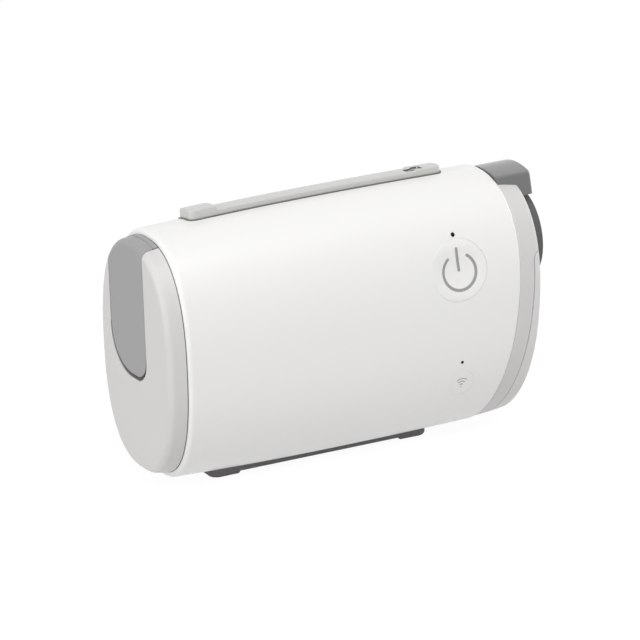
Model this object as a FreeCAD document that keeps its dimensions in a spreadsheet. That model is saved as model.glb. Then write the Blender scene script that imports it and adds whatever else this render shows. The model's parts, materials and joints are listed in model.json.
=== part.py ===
import FreeCAD, Part

import math
import os

from FreeCAD import Placement, Rotation, Vector

# A travel-size CPAP machine. The frame: X runs along the machine from the air inlet end (-X) to the
# air outlet end (+X), the front with the start button faces -Y, Z is up, and the origin is under the
# middle of the machine on the plane that its foot stands on.

# ---------------------------------------------------------------------------------- driving sizes
# One line for each size that can be set by itself: its name in the sheet and its value.
SIZES = {
    # the casing, a barrel with an upright oval section
    "casing_depth": 52.3,
    "casing_height": 81.0,
    "casing_length": 116.5,
    "section_power": 2.45,
    "crown_inlet": 1.3,
    "crown_outlet": 0.7,
    "side_crown": 0.2,
    "casing_wall": 2.0,
    "inlet_rim_round": 1.2,
    "outlet_rim_round": 0.7,
    "seam_lip": 1.2,
    "fit_gap": 0.1,
    # the outlet end is cut by two wide arcs seen from the front
    "outlet_edge_radius": 172.0,
    "outlet_face_radius": 243.0,
    "outlet_edge_apex": 24.8,
    "outlet_face_apex": 22.7,
    # the inlet end
    "cap_length": 6.0,
    "cap_step_side": 1.3,
    "cap_step_top": 1.7,
    "cap_draft_side": 0.5,
    "cap_draft_top": 0.8,
    "cap_edge_round": 1.8,
    "cap_wall": 2.4,
    "spigot_length": 4.5,
    "spigot_root": 1.4,
    "door_width": 24.0,
    "door_centre": 4.2,
    "door_bottom": 36.0,
    "door_corner": 6.0,
    "door_thickness": 2.2,
    "door_gap": 0.3,
    "door_finger_gap": 1.2,
    "hinge_inset": 1.8,
    "hinge_depth": 2.1,
    "hinge_reach_back": 10.5,
    "hinge_ear_width": 5.0,
    "hinge_span": 12.0,
    "hinge_pin_radius": 0.5,
    "hinge_knuckle_wall": 0.8,
    "hinge_ear_wall": 0.6,
    "running_gap": 0.05,
    "bay_width": 18.0,
    "bay_height": 28.0,
    "bay_bottom": 42.0,
    "bay_frame": 2.0,
    "filter_thickness": 3.2,
    "filter_gap": 0.25,
    "grille_thickness": 1.5,
    "grille_slots": 6.0,
    "grille_bar": 1.6,
    "grille_reach": 1.0,
    # the outlet end
    "end_frame_length": 7.8,
    "frame_wall": 3.8,
    "frame_taper_side": 1.65,
    "frame_taper_top": 3.5,
    "frame_edge_round": 1.2,
    "cover_offset": 5.0,
    "cover_top": 59.3,
    "cover_wall": 2.2,
    "cover_gap": 0.05,
    "bulkhead_inset": 4.4,
    "bulkhead_wall": 2.0,
    "port_height": 58.5,
    "port_bore": 10.0,
    "port_radius": 15.0,
    "port_reach": 5.6,
    "port_flange_radius": 16.4,
    "port_flange_wall": 1.6,
    "port_groove_inner": 11.6,
    "port_groove_outer": 13.6,
    "port_groove_depth": 7.0,
    "seal_wall": 1.2,
    "hood_reach": 4.4,
    "hood_width": 21.0,
    "hood_top": 82.0,
    "hood_bottom": 73.9,
    "hood_crown_radius": 78.0,
    "hood_nose_radius": 100.0,
    "hood_round": 1.4,
    "hood_wall": 2.0,
    "jack_height": 24.0,
    "jack_radius": 4.6,
    "jack_bore": 3.2,
    "jack_depth": 9.0,
    "jack_length": 13.0,
    "jack_pin_radius": 1.0,
    # the rails above and below
    "foot_drop": 1.7,
    "foot_left": -47.0,
    "foot_length": 75.9,
    "foot_width": 15.0,
    "foot_centre": 0.0,
    "foot_bar_rise": 0.7,
    "foot_pad_length": 9.5,
    "foot_top": 3.3,
    "foot_round": 3.0,
    "rail_left": -46.7,
    "rail_length": 87.6,
    "rail_width": 9.0,
    "rail_centre": 5.3,
    "rail_rise": 2.0,
    "rail_pad_rise": 3.2,
    "rail_end_rise": 2.4,
    "rail_pad_length": 9.5,
    "rail_corner": 2.0,
    "rail_lip": 0.6,
    "rail_lip_rise": 0.6,
    "rail_notch_x": 29.0,
    "rail_notch_length": 5.5,
    "rail_notch_width": 3.0,
    "rail_notch_depth": 1.2,
    "rail_notch_inset": 0.9,
    # the front: buttons and lights
    "button_x": 32.7,
    "button_height": 58.6,
    "button_radius": 9.75,
    "button_flange": 1.2,
    "button_skin": 1.4,
    "button_travel": 0.6,
    "button_stem_radius": 1.9,
    "dish_radius": 41.0,
    "dish_depth": 1.15,
    "dish_tilt": 10.6,
    "pairing_height": 21.4,
    "pairing_radius": 4.2,
    "lens_x": 32.5,
    "status_lens_height": 69.5,
    "status_lens_radius": 0.65,
    "wireless_lens_height": 28.7,
    "wireless_lens_radius": 0.5,
    # the board and the switches behind the front
    "board_left": 12.5,
    "board_length": 25.0,
    "board_bottom": 16.0,
    "board_height": 56.0,
    "board_front": 16.5,
    "board_thickness": 1.6,
    "board_corner": 2.0,
    "board_hole_inset": 3.0,
    "board_hole_top": 7.0,
    "board_hole_low": 17.0,
    "board_hole_radius": 1.1,
    "switch_side": 6.0,
    "switch_height": 1.8,
    "switch_floor": 0.4,
    "plunger_radius": 1.75,
    "plunger_rise": 0.9,
    # the chassis
    "chassis_left": -37.5,
    "chassis_length": 84.0,
    "chassis_bottom": 13.0,
    "chassis_height": 60.0,
    "chassis_front": 13.6,
    "chassis_wall": 1.6,
    "chassis_corner": 4.0,
    "chassis_hole": 14.0,
    "boss_radius": 2.6,
    "screw_radius": 1.0,
    "screw_head_radius": 1.9,
    "screw_head_height": 1.1,
    "screw_length": 5.0,
    # the blower: a flat scroll whose axis points to the front
    "blower_x": -9.5,
    "blower_drop": 20.0,
    "scroll_radius": 27.0,
    "scroll_start": 20.5,
    "scroll_wall": 1.5,
    "scroll_front": -1.5,
    "scroll_depth": 13.5,
    "outlet_run": 31.0,
    "inlet_radius": 9.0,
    "inlet_lip": 1.5,
    "motor_radius": 13.0,
    "motor_depth": 9.6,
    "bearing_radius": 4.0,
    "bearing_length": 2.3,
    "bearing_seat_wall": 1.2,
    "shaft_radius": 2.0,
    "magnet_radius": 5.4,
    "magnet_length": 3.6,
    "stator_gap": 0.4,
    "stator_teeth": 6.0,
    "impeller_radius": 18.0,
    "impeller_hub_radius": 5.0,
    "impeller_plate": 1.0,
    "impeller_gap": 0.7,
    "impeller_blades": 11.0,
    "blade_height": 9.0,
    "blade_wall": 0.9,
    "ear_radius": 3.6,
    "ear_edge": 0.5,
    "mount_radius": 2.6,
    "mount_post": 1.3,
    # the air path to the port
    "duct_wall": 1.3,
    "duct_bore": 8.0,
    "sensor_length": 12.0,
    "sensor_width": 8.0,
    "sensor_height": 4.0,
    "foam_length": 15.0,
    "foam_gap": 0.3,
    "foam_channel": 7.5,
}

doc = FreeCAD.newDocument("cpap_machine")
sheet = doc.addObject("Spreadsheet::Sheet", "Sizes")
for row, (alias, value) in enumerate(SIZES.items(), start=1):
    sheet.set(f"A{row}", alias)
    sheet.set(f"B{row}", str(value))
    sheet.setAlias(f"B{row}", alias)
doc.recompute()


class Dim:
    """A size that holds its number and the sheet expression that gives it."""

    def __init__(self, number, text):
        self.number = float(number)
        self.text = text

    @staticmethod
    def of(value):
        return value if isinstance(value, Dim) else Dim(value, repr(float(value)))

    def joined(self, other, sign, number):
        return Dim(number, f"({self.text} {sign} {Dim.of(other).text})")

    def __add__(self, other):
        return self.joined(other, "+", self.number + float(other))

    def __sub__(self, other):
        return self.joined(other, "-", self.number - float(other))

    def __mul__(self, other):
        return self.joined(other, "*", self.number * float(other))

    def __truediv__(self, other):
        return self.joined(other, "/", self.number / float(other))

    def __radd__(self, other):
        return Dim.of(other) + self

    def __rsub__(self, other):
        return Dim.of(other) - self

    def __rmul__(self, other):
        return Dim.of(other) * self

    def __neg__(self):
        return Dim.of(0) - self

    def __float__(self):
        return self.number


class Sheet:
    """The cells of the sheet by name, each as a Dim."""

    def __getattr__(self, alias):
        return Dim(sheet.get(alias), f"Sizes.{alias}")


S = Sheet()

# ------------------------------------------------------------------------- places that follow from them
outlet_reach = S.port_reach if S.port_reach.number > S.hood_reach.number else S.hood_reach
overall_length = S.cap_length + S.casing_length + S.end_frame_length + outlet_reach
face_x = -(overall_length / 2)
rim_x = face_x + S.cap_length
edge_x = rim_x + S.casing_length
end_x = edge_x + S.end_frame_length
tip_x = end_x + S.hood_reach
half_height = S.casing_height / 2
half_depth = S.casing_depth / 2
centre_z = S.foot_drop + half_height
waist_x = (rim_x + edge_x) / 2
edge_apex_z = centre_z + S.outlet_edge_apex
face_apex_z = centre_z + S.outlet_face_apex
hinge_x = rim_x - S.hinge_inset
hinge_z = centre_z + half_height - S.crown_inlet - S.cap_step_top - S.hinge_depth
door_front = S.door_centre - S.door_width / 2
door_back = S.door_centre + S.door_width / 2
blower_z = S.port_height - S.blower_drop
FAR = 200.0
TURN_Y = Rotation(Vector(1, 0, 0), -90)
TURN_X = Rotation(Vector(0, 1, 0), 90)
FRONT = Rotation(Vector(1, 0, 0), 90)
TURNS = {"x": TURN_X, "y": TURN_Y, "z": Rotation()}
pieces = []


# ------------------------------------------------------------------------------------ small builders
def bind(thing, **sizes):
    """Ties properties of a document object to sheet expressions."""
    for name, size in sizes.items():
        thing.setExpression(name, Dim.of(size).text)


def put(thing, x=0, y=0, z=0, turn=None):
    """Places a document object at a point given by sizes."""
    thing.Placement = Placement(Vector(float(x), float(y), float(z)), turn or Rotation())
    for letter, size in zip("xyz", (x, y, z)):
        thing.setExpression(f"Placement.Base.{letter}", Dim.of(size).text)
    return thing


def box(name, x, y, z):
    """A block between two corners, each of x, y and z as (low, high)."""
    thing = doc.addObject("Part::Box", name)
    spans = [(Dim.of(low), Dim.of(high)) for low, high in (x, y, z)]
    bind(thing, Length=spans[0][1] - spans[0][0], Width=spans[1][1] - spans[1][0])
    bind(thing, Height=spans[2][1] - spans[2][0])
    return put(thing, spans[0][0], spans[1][0], spans[2][0])


def rod(name, radius, length, at, along="z"):
    """A cylinder that starts at a point and runs along one axis."""
    thing = doc.addObject("Part::Cylinder", name)
    bind(thing, Radius=radius, Height=length)
    return put(thing, *at, turn=TURNS[along])


def cut(name, base, *tools):
    """What is left of one object when others are taken away."""
    thing = doc.addObject("Part::Cut", name)
    thing.Base = base
    thing.Tool = tools[0] if len(tools) == 1 else fuse(name + "_tools", *tools)
    return thing


def fuse(name, *parts):
    """Several objects as one solid, or as one group of solids."""
    thing = doc.addObject("Part::MultiFuse", name)
    thing.Shapes = list(parts)
    return thing


def common(name, *parts):
    """What several objects share."""
    thing = doc.addObject("Part::MultiCommon", name)
    thing.Shapes = list(parts)
    return thing


def shaped(name, shape):
    """An object whose shape is worked out here, for forms that no primitive gives."""
    thing = doc.addObject("Part::Feature", name)
    thing.Shape = shape
    return thing


def piece(node, thing):
    """Marks an object as a finished sub-part of the machine and names it."""
    thing.Label = node
    pieces.append(thing)
    return thing


def origin_plane(body, role):
    """One of a body's own origin planes or axes."""
    return next(item for item in body.Origin.OriginFeatures if item.Role == role)


def outline(body, name, points, role="XY_Plane"):
    """A closed sketch of straight lines, each corner held at its two sizes from the origin."""
    sketch = body.newObject("Sketcher::SketchObject", name)
    sketch.AttachmentSupport = (origin_plane(body, role), [""])
    sketch.MapMode = "FlatFace"
    spots = [Vector(float(across), float(up), 0) for across, up in points]
    count = len(spots)
    for index in range(count):
        sketch.addGeometry(Part.LineSegment(spots[index], spots[(index + 1) % count]), False)
    import Sketcher

    for index in range(count):
        sketch.addConstraint(Sketcher.Constraint("Coincident", index, 2, (index + 1) % count, 1))
    for index, (across, up) in enumerate(points):
        for kind, size, axis in (("DistanceX", across, -2), ("DistanceY", up, -1)):
            size = Dim.of(size)
            if size.number == 0:
                sketch.addConstraint(Sketcher.Constraint("PointOnObject", index, 1, axis))
                continue
            number = sketch.addConstraint(Sketcher.Constraint(kind, index, 1, size.number))
            sketch.setExpression(f"Constraints[{number}]", size.text)
    return sketch


def new_body(name, x=0, y=0, z=0, turn=None):
    """An empty PartDesign body at its place."""
    return put(doc.addObject("PartDesign::Body", name), x, y, z, turn)


def turned(node, points, x=0, y=0, z=0, turn=None):
    """A turned piece: its half section, as (radius, height) pairs, revolved about the body's Z axis."""
    body = new_body(node + "_body", x, y, z, turn)
    sketch = outline(body, node + "_section", points, "XZ_Plane")
    feature = body.newObject("PartDesign::Revolution", node + "_turn")
    feature.Profile = sketch
    feature.ReferenceAxis = (sketch, ["V_Axis"])
    feature.Angle = 360
    return body


def padded(node, points, height, x=0, y=0, z=0, turn=None):
    """A body padded up from an outline drawn in its own XY plane."""
    body = new_body(node + "_body", x, y, z, turn)
    sketch = outline(body, node + "_outline", points)
    feature = body.newObject("PartDesign::Pad", node + "_pad")
    feature.Profile = sketch
    bind(feature, Length=height)
    return body


def rectangle(left, right, low, high):
    """The corners of a rectangle, in order."""
    return [(left, low), (right, low), (right, high), (left, high)]


# ------------------------------------------------------------------------------- the oval forms
def oval(x, side, top, middle):
    """A closed wire at x: a superellipse, |y/side|^n + |z/top|^n = 1, about the middle height."""
    power = 2 / S.section_power.number
    points = []
    count = 28
    for index in range(count):
        angle = 2 * math.pi * index / count
        across, up = math.cos(angle), math.sin(angle)
        y = math.copysign(abs(across) ** power, across) * side
        z = math.copysign(abs(up) ** power, up) * top + middle
        points.append(Vector(x, y, z))
    curve = Part.BSplineCurve()
    curve.interpolate(points, PeriodicFlag=True)
    return Part.Wire([curve.toShape()])


def crown(x):
    """How far the barrel draws in at x, at its side and at its top."""
    share = (x - waist_x.number) / (S.casing_length.number / 2)
    drop = S.crown_inlet.number if share < 0 else S.crown_outlet.number
    return S.side_crown.number * share**2, drop * share**2


def casing_form(inset):
    """The solid inside the barrel surface, drawn in by inset all round."""
    reach = 4.0
    low, high = rim_x.number - reach, edge_x.number + reach
    steps = 4
    wires = []
    for index in range(steps + 1):
        x = low + (high - low) * index / steps
        side, top = crown(x)
        wires.append(oval(x, half_depth.number - side - inset, half_height.number - top - inset,
                          centre_z.number))
    return Part.makeLoft(wires, True, False)


def cap_oval(x, inset):
    """One section of the inlet end's tapered form, drawn in by inset."""
    side, top = crown(rim_x.number)
    share = (rim_x.number - x) / S.cap_length.number
    side = half_depth.number - side - S.cap_step_side.number - share * S.cap_draft_side.number - inset
    top = half_height.number - top - S.cap_step_top.number - share * S.cap_draft_top.number - inset
    return oval(x, side, top, centre_z.number)


def cap_form(inset, left, right):
    """The inlet end's own form, drawn in by inset, from left to right."""
    return Part.makeLoft([cap_oval(x, inset) for x in (left, (left + right) / 2, right)], True, False)


def cap_outer():
    """The inlet end as one block: its straight part and the rounding that leads to its face."""
    radius = S.cap_edge_round.number
    face = face_x.number
    wires = []
    steps = 6
    for index in range(steps + 1):
        angle = math.pi / 2 * index / steps
        wires.append(cap_oval(face + radius * (1 - math.cos(angle)), radius * (1 - math.sin(angle))))
    nose = Part.makeLoft(wires, True, False)
    return nose.fuse(cap_form(0.0, face + radius, rim_x.number))


def frame_form(inset):
    """The outlet end's form: it leaves the barrel in line and draws in towards the end face."""
    start = edge_x.number - 2 * S.end_frame_length.number
    stop = end_x.number + 4.0
    steps = 4
    side, top = crown(edge_x.number)
    wires = []
    for index in range(-1, steps + 1):
        x = start + (stop - start) * index / steps
        share = max(0.0, (x - start) / (end_x.number - start)) ** 2
        wires.append(oval(x, half_depth.number - side - inset - share * S.frame_taper_side.number,
                          half_height.number - top - inset - share * S.frame_taper_top.number,
                          centre_z.number))
    return Part.makeLoft(wires, True, False)


def arc_block(radius, right, apex, inset=0.0):
    """All that lies left of a wide arc in the XZ plane whose rightmost point is at right and apex."""
    radius = radius.number + inset
    middle = Vector(right.number + inset - radius, -FAR / 2, apex.number)
    return Part.makeCylinder(radius, FAR, middle, Vector(0, 1, 0))


def half_space(axis, low, high):
    """A large block between two values on one axis."""
    corner = [-FAR, -FAR, -FAR]
    sides = [2 * FAR, 2 * FAR, 2 * FAR]
    place = "xyz".index(axis)
    corner[place] = low
    sides[place] = high - low
    return Part.makeBox(*sides, Vector(*corner))


def reach_of(edge):
    """The true span of an edge, from points along it."""
    span = FreeCAD.BoundBox()
    for point in edge.discretize(24):
        span.add(point)
    return span


def rounded(shape, radius, wanted):
    """The shape with the edges that wanted picks rounded."""
    solid = max(shape.Solids, key=lambda item: item.Volume)
    edges = [edge for edge in solid.Edges if wanted(reach_of(edge))]
    return solid.makeFillet(radius, edges)


def pin_shape(radius, low, high, x, z):
    """A plain cylinder along Y between two depths."""
    return Part.makeCylinder(radius, high - low, Vector(x, low, z), Vector(0, 1, 0))


barrel = casing_form(0.0)
barrel_hollow = casing_form(S.casing_wall.number)
outlet_edge = arc_block(S.outlet_edge_radius, edge_x, edge_apex_z)
outlet_face = arc_block(S.outlet_face_radius, end_x, face_apex_z)


# --------------------------------------------------------------------------------- the white casing
def make_casing():
    """The front and rear shells: one barrel, parted at its middle, with a lip along the seam."""
    wall = S.casing_wall.number
    beyond_rim = half_space("x", rim_x.number, FAR)
    body = barrel.common(beyond_rim).common(outlet_edge)
    at_rim = rim_x.number + 0.01
    body = rounded(body, S.inlet_rim_round.number, lambda span: span.XMax < at_rim)
    far_right = edge_x.number - 2 * S.end_frame_length.number
    body = rounded(body, S.outlet_rim_round.number, lambda span: span.XMin > far_right)
    skin = body.cut(barrel_hollow)
    front = skin.common(half_space("y", -FAR, 0.0))
    back = skin.common(half_space("y", 0.0, FAR))
    ends = beyond_rim.common(outlet_edge)
    lip_form = casing_form(wall / 2 + S.running_gap.number)
    lip = lip_form.cut(barrel_hollow).common(ends).common(half_space("y", -wall, S.seam_lip.number))
    rebate = casing_form(wall / 2).common(half_space("y", -1.0, S.seam_lip.number + S.fit_gap.number))
    inside = casing_form(wall - S.running_gap.number)
    for x, z in boss_places():
        start = -S.chassis_front.number
        boss = pin_shape(S.boss_radius.number, -FAR / 2, start, x, z).common(inside)
        hole_radius = S.screw_radius.number + S.running_gap.number
        hole = pin_shape(hole_radius, start - S.screw_length.number, start, x, z)
        front = front.fuse(boss).cut(hole)
    front = front.fuse(lip)
    openings = (
        (S.button_x, S.button_height, S.button_radius + S.fit_gap),
        (S.button_x, S.pairing_height, S.pairing_radius + S.fit_gap),
        (S.lens_x, S.status_lens_height, S.status_lens_radius + S.running_gap),
        (S.lens_x, S.wireless_lens_height, S.wireless_lens_radius + S.running_gap),
    )
    for x, z, radius in openings:
        front = front.cut(pin_shape(radius.number, -FAR / 2, -S.board_front.number, x.number, z.number))
    piece("front_shell", shaped("front_casing", front))
    piece("rear_shell", shaped("rear_casing", back.cut(rebate)))


def boss_places():
    """Where the chassis is screwed to the front shell: x and z of each boss."""
    left = S.chassis_left.number
    right = left + S.chassis_length.number
    low = S.chassis_bottom.number
    high = low + S.chassis_height.number
    inset = S.chassis_corner.number
    return [(x, z) for x in (left + inset, right - inset) for z in (low + inset, high - inset)]


# ----------------------------------------------------------------------------------- the inlet end
def door_outline(grow, bottom_grow):
    """The filter door's outline as a prism along X, grown by a gap."""
    low = S.door_bottom.number - bottom_grow
    width = S.door_width.number + 2 * grow
    prism = Part.makeBox(3 * S.cap_length.number, width, FAR,
                         Vector(face_x.number - S.cap_length.number, door_front.number - grow, low))
    corner = S.door_corner.number + grow
    return rounded(prism, corner, lambda span: span.ZMax < low + 0.01 and span.YLength < 0.01)


def make_inlet_end():
    """The light grey cap with its hinge pocket and filter bay, the door, its pin, filter and grille."""
    gap = S.door_gap.number
    face, rim = face_x.number, rim_x.number
    axis_x, axis_z = hinge_x.number, hinge_z.number
    outer = cap_outer()
    span = S.hinge_span.number / 2
    ear = S.hinge_ear_width.number / 2
    pin_radius = S.hinge_pin_radius.number
    knuckle = pin_radius + S.hinge_knuckle_wall.number
    ear_radius = pin_radius + S.hinge_ear_wall.number
    swing = S.hinge_depth.number
    behind_door = face + S.door_thickness.number

    plug = casing_form(S.casing_wall.number + S.fit_gap.number)
    plug = plug.common(half_space("x", rim - S.spigot_root.number, rim + S.spigot_length.number))
    core = cap_form(S.cap_wall.number, behind_door + gap + 2.0, rim + S.spigot_length.number + 1.0)
    block_low = axis_z - swing - 3.0
    pocket_front = door_front.number - gap
    pocket_width = S.hinge_reach_back.number - pocket_front
    core = core.cut(Part.makeBox(S.cap_length.number + 2.0, pocket_width + 4.0, 20.0,
                                 Vector(face, pocket_front - 2.0, block_low)))
    bay_left = S.door_centre.number - S.bay_width.number / 2
    wall = S.bay_frame.number
    core = core.cut(Part.makeBox(S.cap_length.number, S.bay_width.number + 2 * wall,
                                 S.bay_height.number + 2 * wall,
                                 Vector(face, bay_left - wall, S.bay_bottom.number - wall)))
    cap = outer.fuse(plug).cut(core)

    # the recess that the door lies in: deeper under the skin, and open over the hinge
    kept = cap_form(S.door_thickness.number + gap, behind_door + gap, rim + 5.0)
    kept = kept.fuse(half_space("x", axis_x + gap, FAR))
    recess = door_outline(gap, S.door_finger_gap.number).cut(kept)
    cap = cap.cut(recess)
    pocket = pin_shape(swing + gap, pocket_front, pocket_front + pocket_width, axis_x, axis_z)
    above = Part.makeBox(rim - axis_x - gap, pocket_width, 20.0, Vector(axis_x + gap, pocket_front, axis_z))
    cap = cap.cut(pocket.fuse(above))
    web = Part.makeBox(rim - axis_x + ear_radius, 2 * ear, axis_z - block_low,
                       Vector(axis_x - ear_radius, -ear, block_low))
    ear_body = pin_shape(ear_radius, -ear, ear, axis_x, axis_z).fuse(web)
    ear_body = ear_body.cut(pin_shape(pin_radius, -ear, ear, axis_x, axis_z))
    cap = cap.fuse(ear_body)
    bay = Part.makeBox(3 * S.cap_length.number, S.bay_width.number, S.bay_height.number,
                       Vector(face, bay_left, S.bay_bottom.number))
    cap = cap.cut(bay)
    piece("inlet_end_cap", shaped("inlet_cap", cap))

    # the door: a skin of the cap's own form that ends over its hinge
    skin = outer.cut(cap_form(S.door_thickness.number, behind_door, rim + 5.0)).common(door_outline(0.0, 0.0))
    left_part = skin.common(half_space("x", -FAR, axis_x))
    door = left_part
    for low, high in ((-span, -ear - gap), (ear + gap, span)):
        door = door.fuse(pin_shape(knuckle, low, high, axis_x, axis_z))
    door = door.cut(pin_shape(ear_radius + gap, -ear - gap, ear + gap, axis_x, axis_z))
    door = door.cut(pin_shape(pin_radius + S.running_gap.number, -span, span, axis_x, axis_z))
    piece("filter_door", shaped("door", door))

    pin = rod("hinge_pin", S.hinge_pin_radius, S.hinge_span, (hinge_x, -(S.hinge_span / 2), hinge_z), "y")
    piece("door_hinge_pin", pin)

    filter_left = rim_x - S.filter_thickness
    side = S.bay_width / 2 - S.filter_gap
    pad = box("filter_pad", (filter_left, rim_x), (S.door_centre - side, S.door_centre + side),
              (S.bay_bottom + S.filter_gap, S.bay_bottom + S.bay_height - S.filter_gap))
    piece("air_filter", pad)
    make_grille()


def make_grille():
    """A slotted plate behind the filter, padded from its outline with one slot repeated upwards."""
    reach = S.grille_reach
    body = padded("filter_grille", rectangle(-(S.bay_width / 2) - reach, S.bay_width / 2 + reach, -reach,
                                             S.bay_height + reach), S.grille_thickness,
                  rim_x, S.door_centre, S.bay_bottom, Rotation(Vector(0, 0, 1), Vector(1, 0, 0)))
    body.Placement.Rotation = Rotation(Vector(0, 1, 0), Vector(0, 0, 1), Vector(1, 0, 0), "ZXY")
    pitch = S.bay_height / S.grille_slots
    slot = outline(body, "grille_slot", rectangle(-(S.bay_width / 2) + S.grille_bar,
                                                  S.bay_width / 2 - S.grille_bar,
                                                  S.grille_bar / 2, pitch - S.grille_bar / 2))
    pocket = body.newObject("PartDesign::Pocket", "grille_slot_cut")
    pocket.Profile = slot
    pocket.Type = "ThroughAll"
    pocket.Midplane = True
    row = body.newObject("PartDesign::LinearPattern", "grille_slot_row")
    row.Originals = [pocket]
    row.Direction = (slot, ["V_Axis"])
    bind(row, Length=S.bay_height - pitch)
    row.Occurrences = int(S.grille_slots.number)
    body.Tip = row
    piece("filter_grille", body)


# ---------------------------------------------------------------------------------- the outlet end
def make_outlet_end():
    """The light grey end frame, the lower cover, the port, its seal, the hood and the power inlet."""
    outer = frame_form(0.0)
    hollow = frame_form(S.frame_wall.number)
    offset = S.cover_offset.number
    cover_edge = arc_block(S.outlet_edge_radius, edge_x + S.cover_offset, edge_apex_z)
    cover_start = arc_block(S.outlet_edge_radius, edge_x + S.cover_offset + S.cover_gap, edge_apex_z)
    ahead = outer.cut(outlet_edge).common(outlet_face)
    ahead = rounded(ahead, S.frame_edge_round.number,
                    lambda span: span.XMax > (edge_x.number + end_x.number) / 2
                    and span.ZLength > S.casing_height.number / 2)
    top = S.cover_top.number
    upper = ahead.common(half_space("z", top, FAR))
    lower = ahead.common(cover_edge).common(half_space("z", -FAR, top))
    solid = upper.fuse(lower)
    plug = casing_form(S.casing_wall.number + S.fit_gap.number)
    plug = plug.common(arc_block(S.outlet_edge_radius, edge_x + S.spigot_root, edge_apex_z))
    plug = plug.cut(arc_block(S.outlet_edge_radius, edge_x - S.spigot_length, edge_apex_z))
    for x, z in boss_places():
        plug = plug.cut(pin_shape(S.boss_radius.number + S.door_gap.number, -FAR / 2, 0.0, x, z))
    wall_start = bulkhead_x().number
    bulkhead = half_space("x", wall_start, wall_start + S.bulkhead_wall.number)
    plate_back = arc_block(S.outlet_face_radius, end_x - S.cover_wall, face_apex_z)
    frame = solid.fuse(plug).cut(hollow.common(plate_back).cut(bulkhead))
    port_z = S.port_height.number
    along = Vector(1, 0, 0)
    port_hole = Part.makeCylinder(S.port_radius.number + S.fit_gap.number, FAR, Vector(0, 0, port_z), along)
    jack_hole = Part.makeCylinder(S.jack_radius.number + S.fit_gap.number, FAR,
                                  Vector(0, 0, S.jack_height.number), along)
    piece("outlet_end_frame", shaped("end_frame", frame.cut(port_hole).cut(jack_hole)))

    cover = ahead.cut(cover_start).common(half_space("z", -FAR, top - S.cover_gap.number))
    cover = cover.cut(frame_form(S.cover_wall.number).common(plate_back))
    cover = cover.cut(port_hole).cut(jack_hole)
    piece("lower_end_cover", shaped("end_cover", cover))
    make_port()
    make_hood()
    make_power_inlet()


def arc_x(radius, right, apex, height):
    """The x of a wide arc at one height."""
    drop = (float(height) - float(apex)) ** 2
    return float(right) - float(radius) + math.sqrt(float(radius) ** 2 - drop)


def bulkhead_x():
    """Where the flat wall across the end frame starts, just inside the plug."""
    return edge_x - S.bulkhead_inset


def make_port():
    """The outlet port: a turned collar round a plain bore, with a flange, and the seal behind it."""
    base = bulkhead_x() - S.port_flange_wall
    reach = end_x + S.port_reach - base
    groove_floor = reach - S.port_groove_depth
    section = [
        (S.port_bore, 0),
        (S.port_flange_radius, 0),
        (S.port_flange_radius, S.port_flange_wall),
        (S.port_radius, S.port_flange_wall),
        (S.port_radius, reach),
        (S.port_groove_outer, reach),
        (S.port_groove_outer, groove_floor),
        (S.port_groove_inner, groove_floor),
        (S.port_groove_inner, reach),
        (S.port_bore, reach),
    ]
    piece("outlet_port", turned("outlet_port", section, base, 0, S.port_height, TURN_X))
    seal = [
        (S.duct_bore, 0),
        (S.port_flange_radius - 3, 0),
        (S.port_flange_radius - 3, S.seal_wall),
        (S.duct_bore, S.seal_wall),
    ]
    piece("port_seal", turned("port_seal", seal, base - S.seal_wall, 0, S.port_height, TURN_X))


def make_hood():
    """The dark hood over the port: it sits on the end frame and reaches past the end face."""
    width = S.hood_width.number / 2
    low, high = S.hood_bottom.number, S.hood_top.number
    block = Part.makeBox(FAR / 2, 2 * width, high - low, Vector(tip_x.number - FAR / 2, -width, low))
    nose = Part.makeCylinder(S.hood_nose_radius.number, FAR,
                             Vector(tip_x.number - S.hood_nose_radius.number, 0, 0))
    nose = nose.fuse(half_space("x", -FAR, tip_x.number - S.hood_nose_radius.number))
    top_radius = S.hood_crown_radius.number
    top = Part.makeCylinder(top_radius, FAR, Vector(-FAR / 2, 0, high - top_radius), Vector(1, 0, 0))
    block = block.common(nose).common(top)
    past_end = end_x.number + 1.0
    block = rounded(block, S.hood_round.number, lambda span: span.XMax > past_end and span.ZMax > low + 0.5)
    block = block.cut(outlet_edge).cut(frame_form(0.0).common(outlet_face))
    block = block.common(half_space("z", low, FAR))
    wall = S.hood_wall.number
    pocket = Part.makeBox(FAR / 2, 2 * (width - wall), S.hood_reach.number / 2,
                          Vector(tip_x.number - FAR / 2, wall - width, low))
    pocket = pocket.common(Part.makeCylinder(S.hood_nose_radius.number - wall, FAR,
                                             Vector(tip_x.number - S.hood_nose_radius.number, 0, 0)))
    block = block.cut(pocket)
    largest = max(block.Solids, key=lambda solid: solid.Volume)
    piece("connector_hood", shaped("hood", largest))


def make_power_inlet():
    """A round low-voltage power inlet in the lower cover, with its centre contact."""
    mouth = arc_x(S.outlet_face_radius, end_x, face_apex_z, S.jack_height) - 0.4
    back = mouth - S.jack_length.number
    height = S.jack_height.number
    along = Vector(1, 0, 0)
    barrel_shape = Part.makeCylinder(S.jack_radius.number, S.jack_length.number, Vector(back, 0, height), along)
    bore = Part.makeCylinder(S.jack_bore.number, S.jack_depth.number,
                             Vector(mouth - S.jack_depth.number, 0, height), along)
    stem = Part.makeCylinder(S.jack_pin_radius.number, S.jack_length.number - 2.0,
                             Vector(back, 0, height), along)
    piece("power_inlet", shaped("jack", barrel_shape.cut(bore).cut(stem)))
    piece("power_inlet_pin", shaped("jack_pin", stem))


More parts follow.
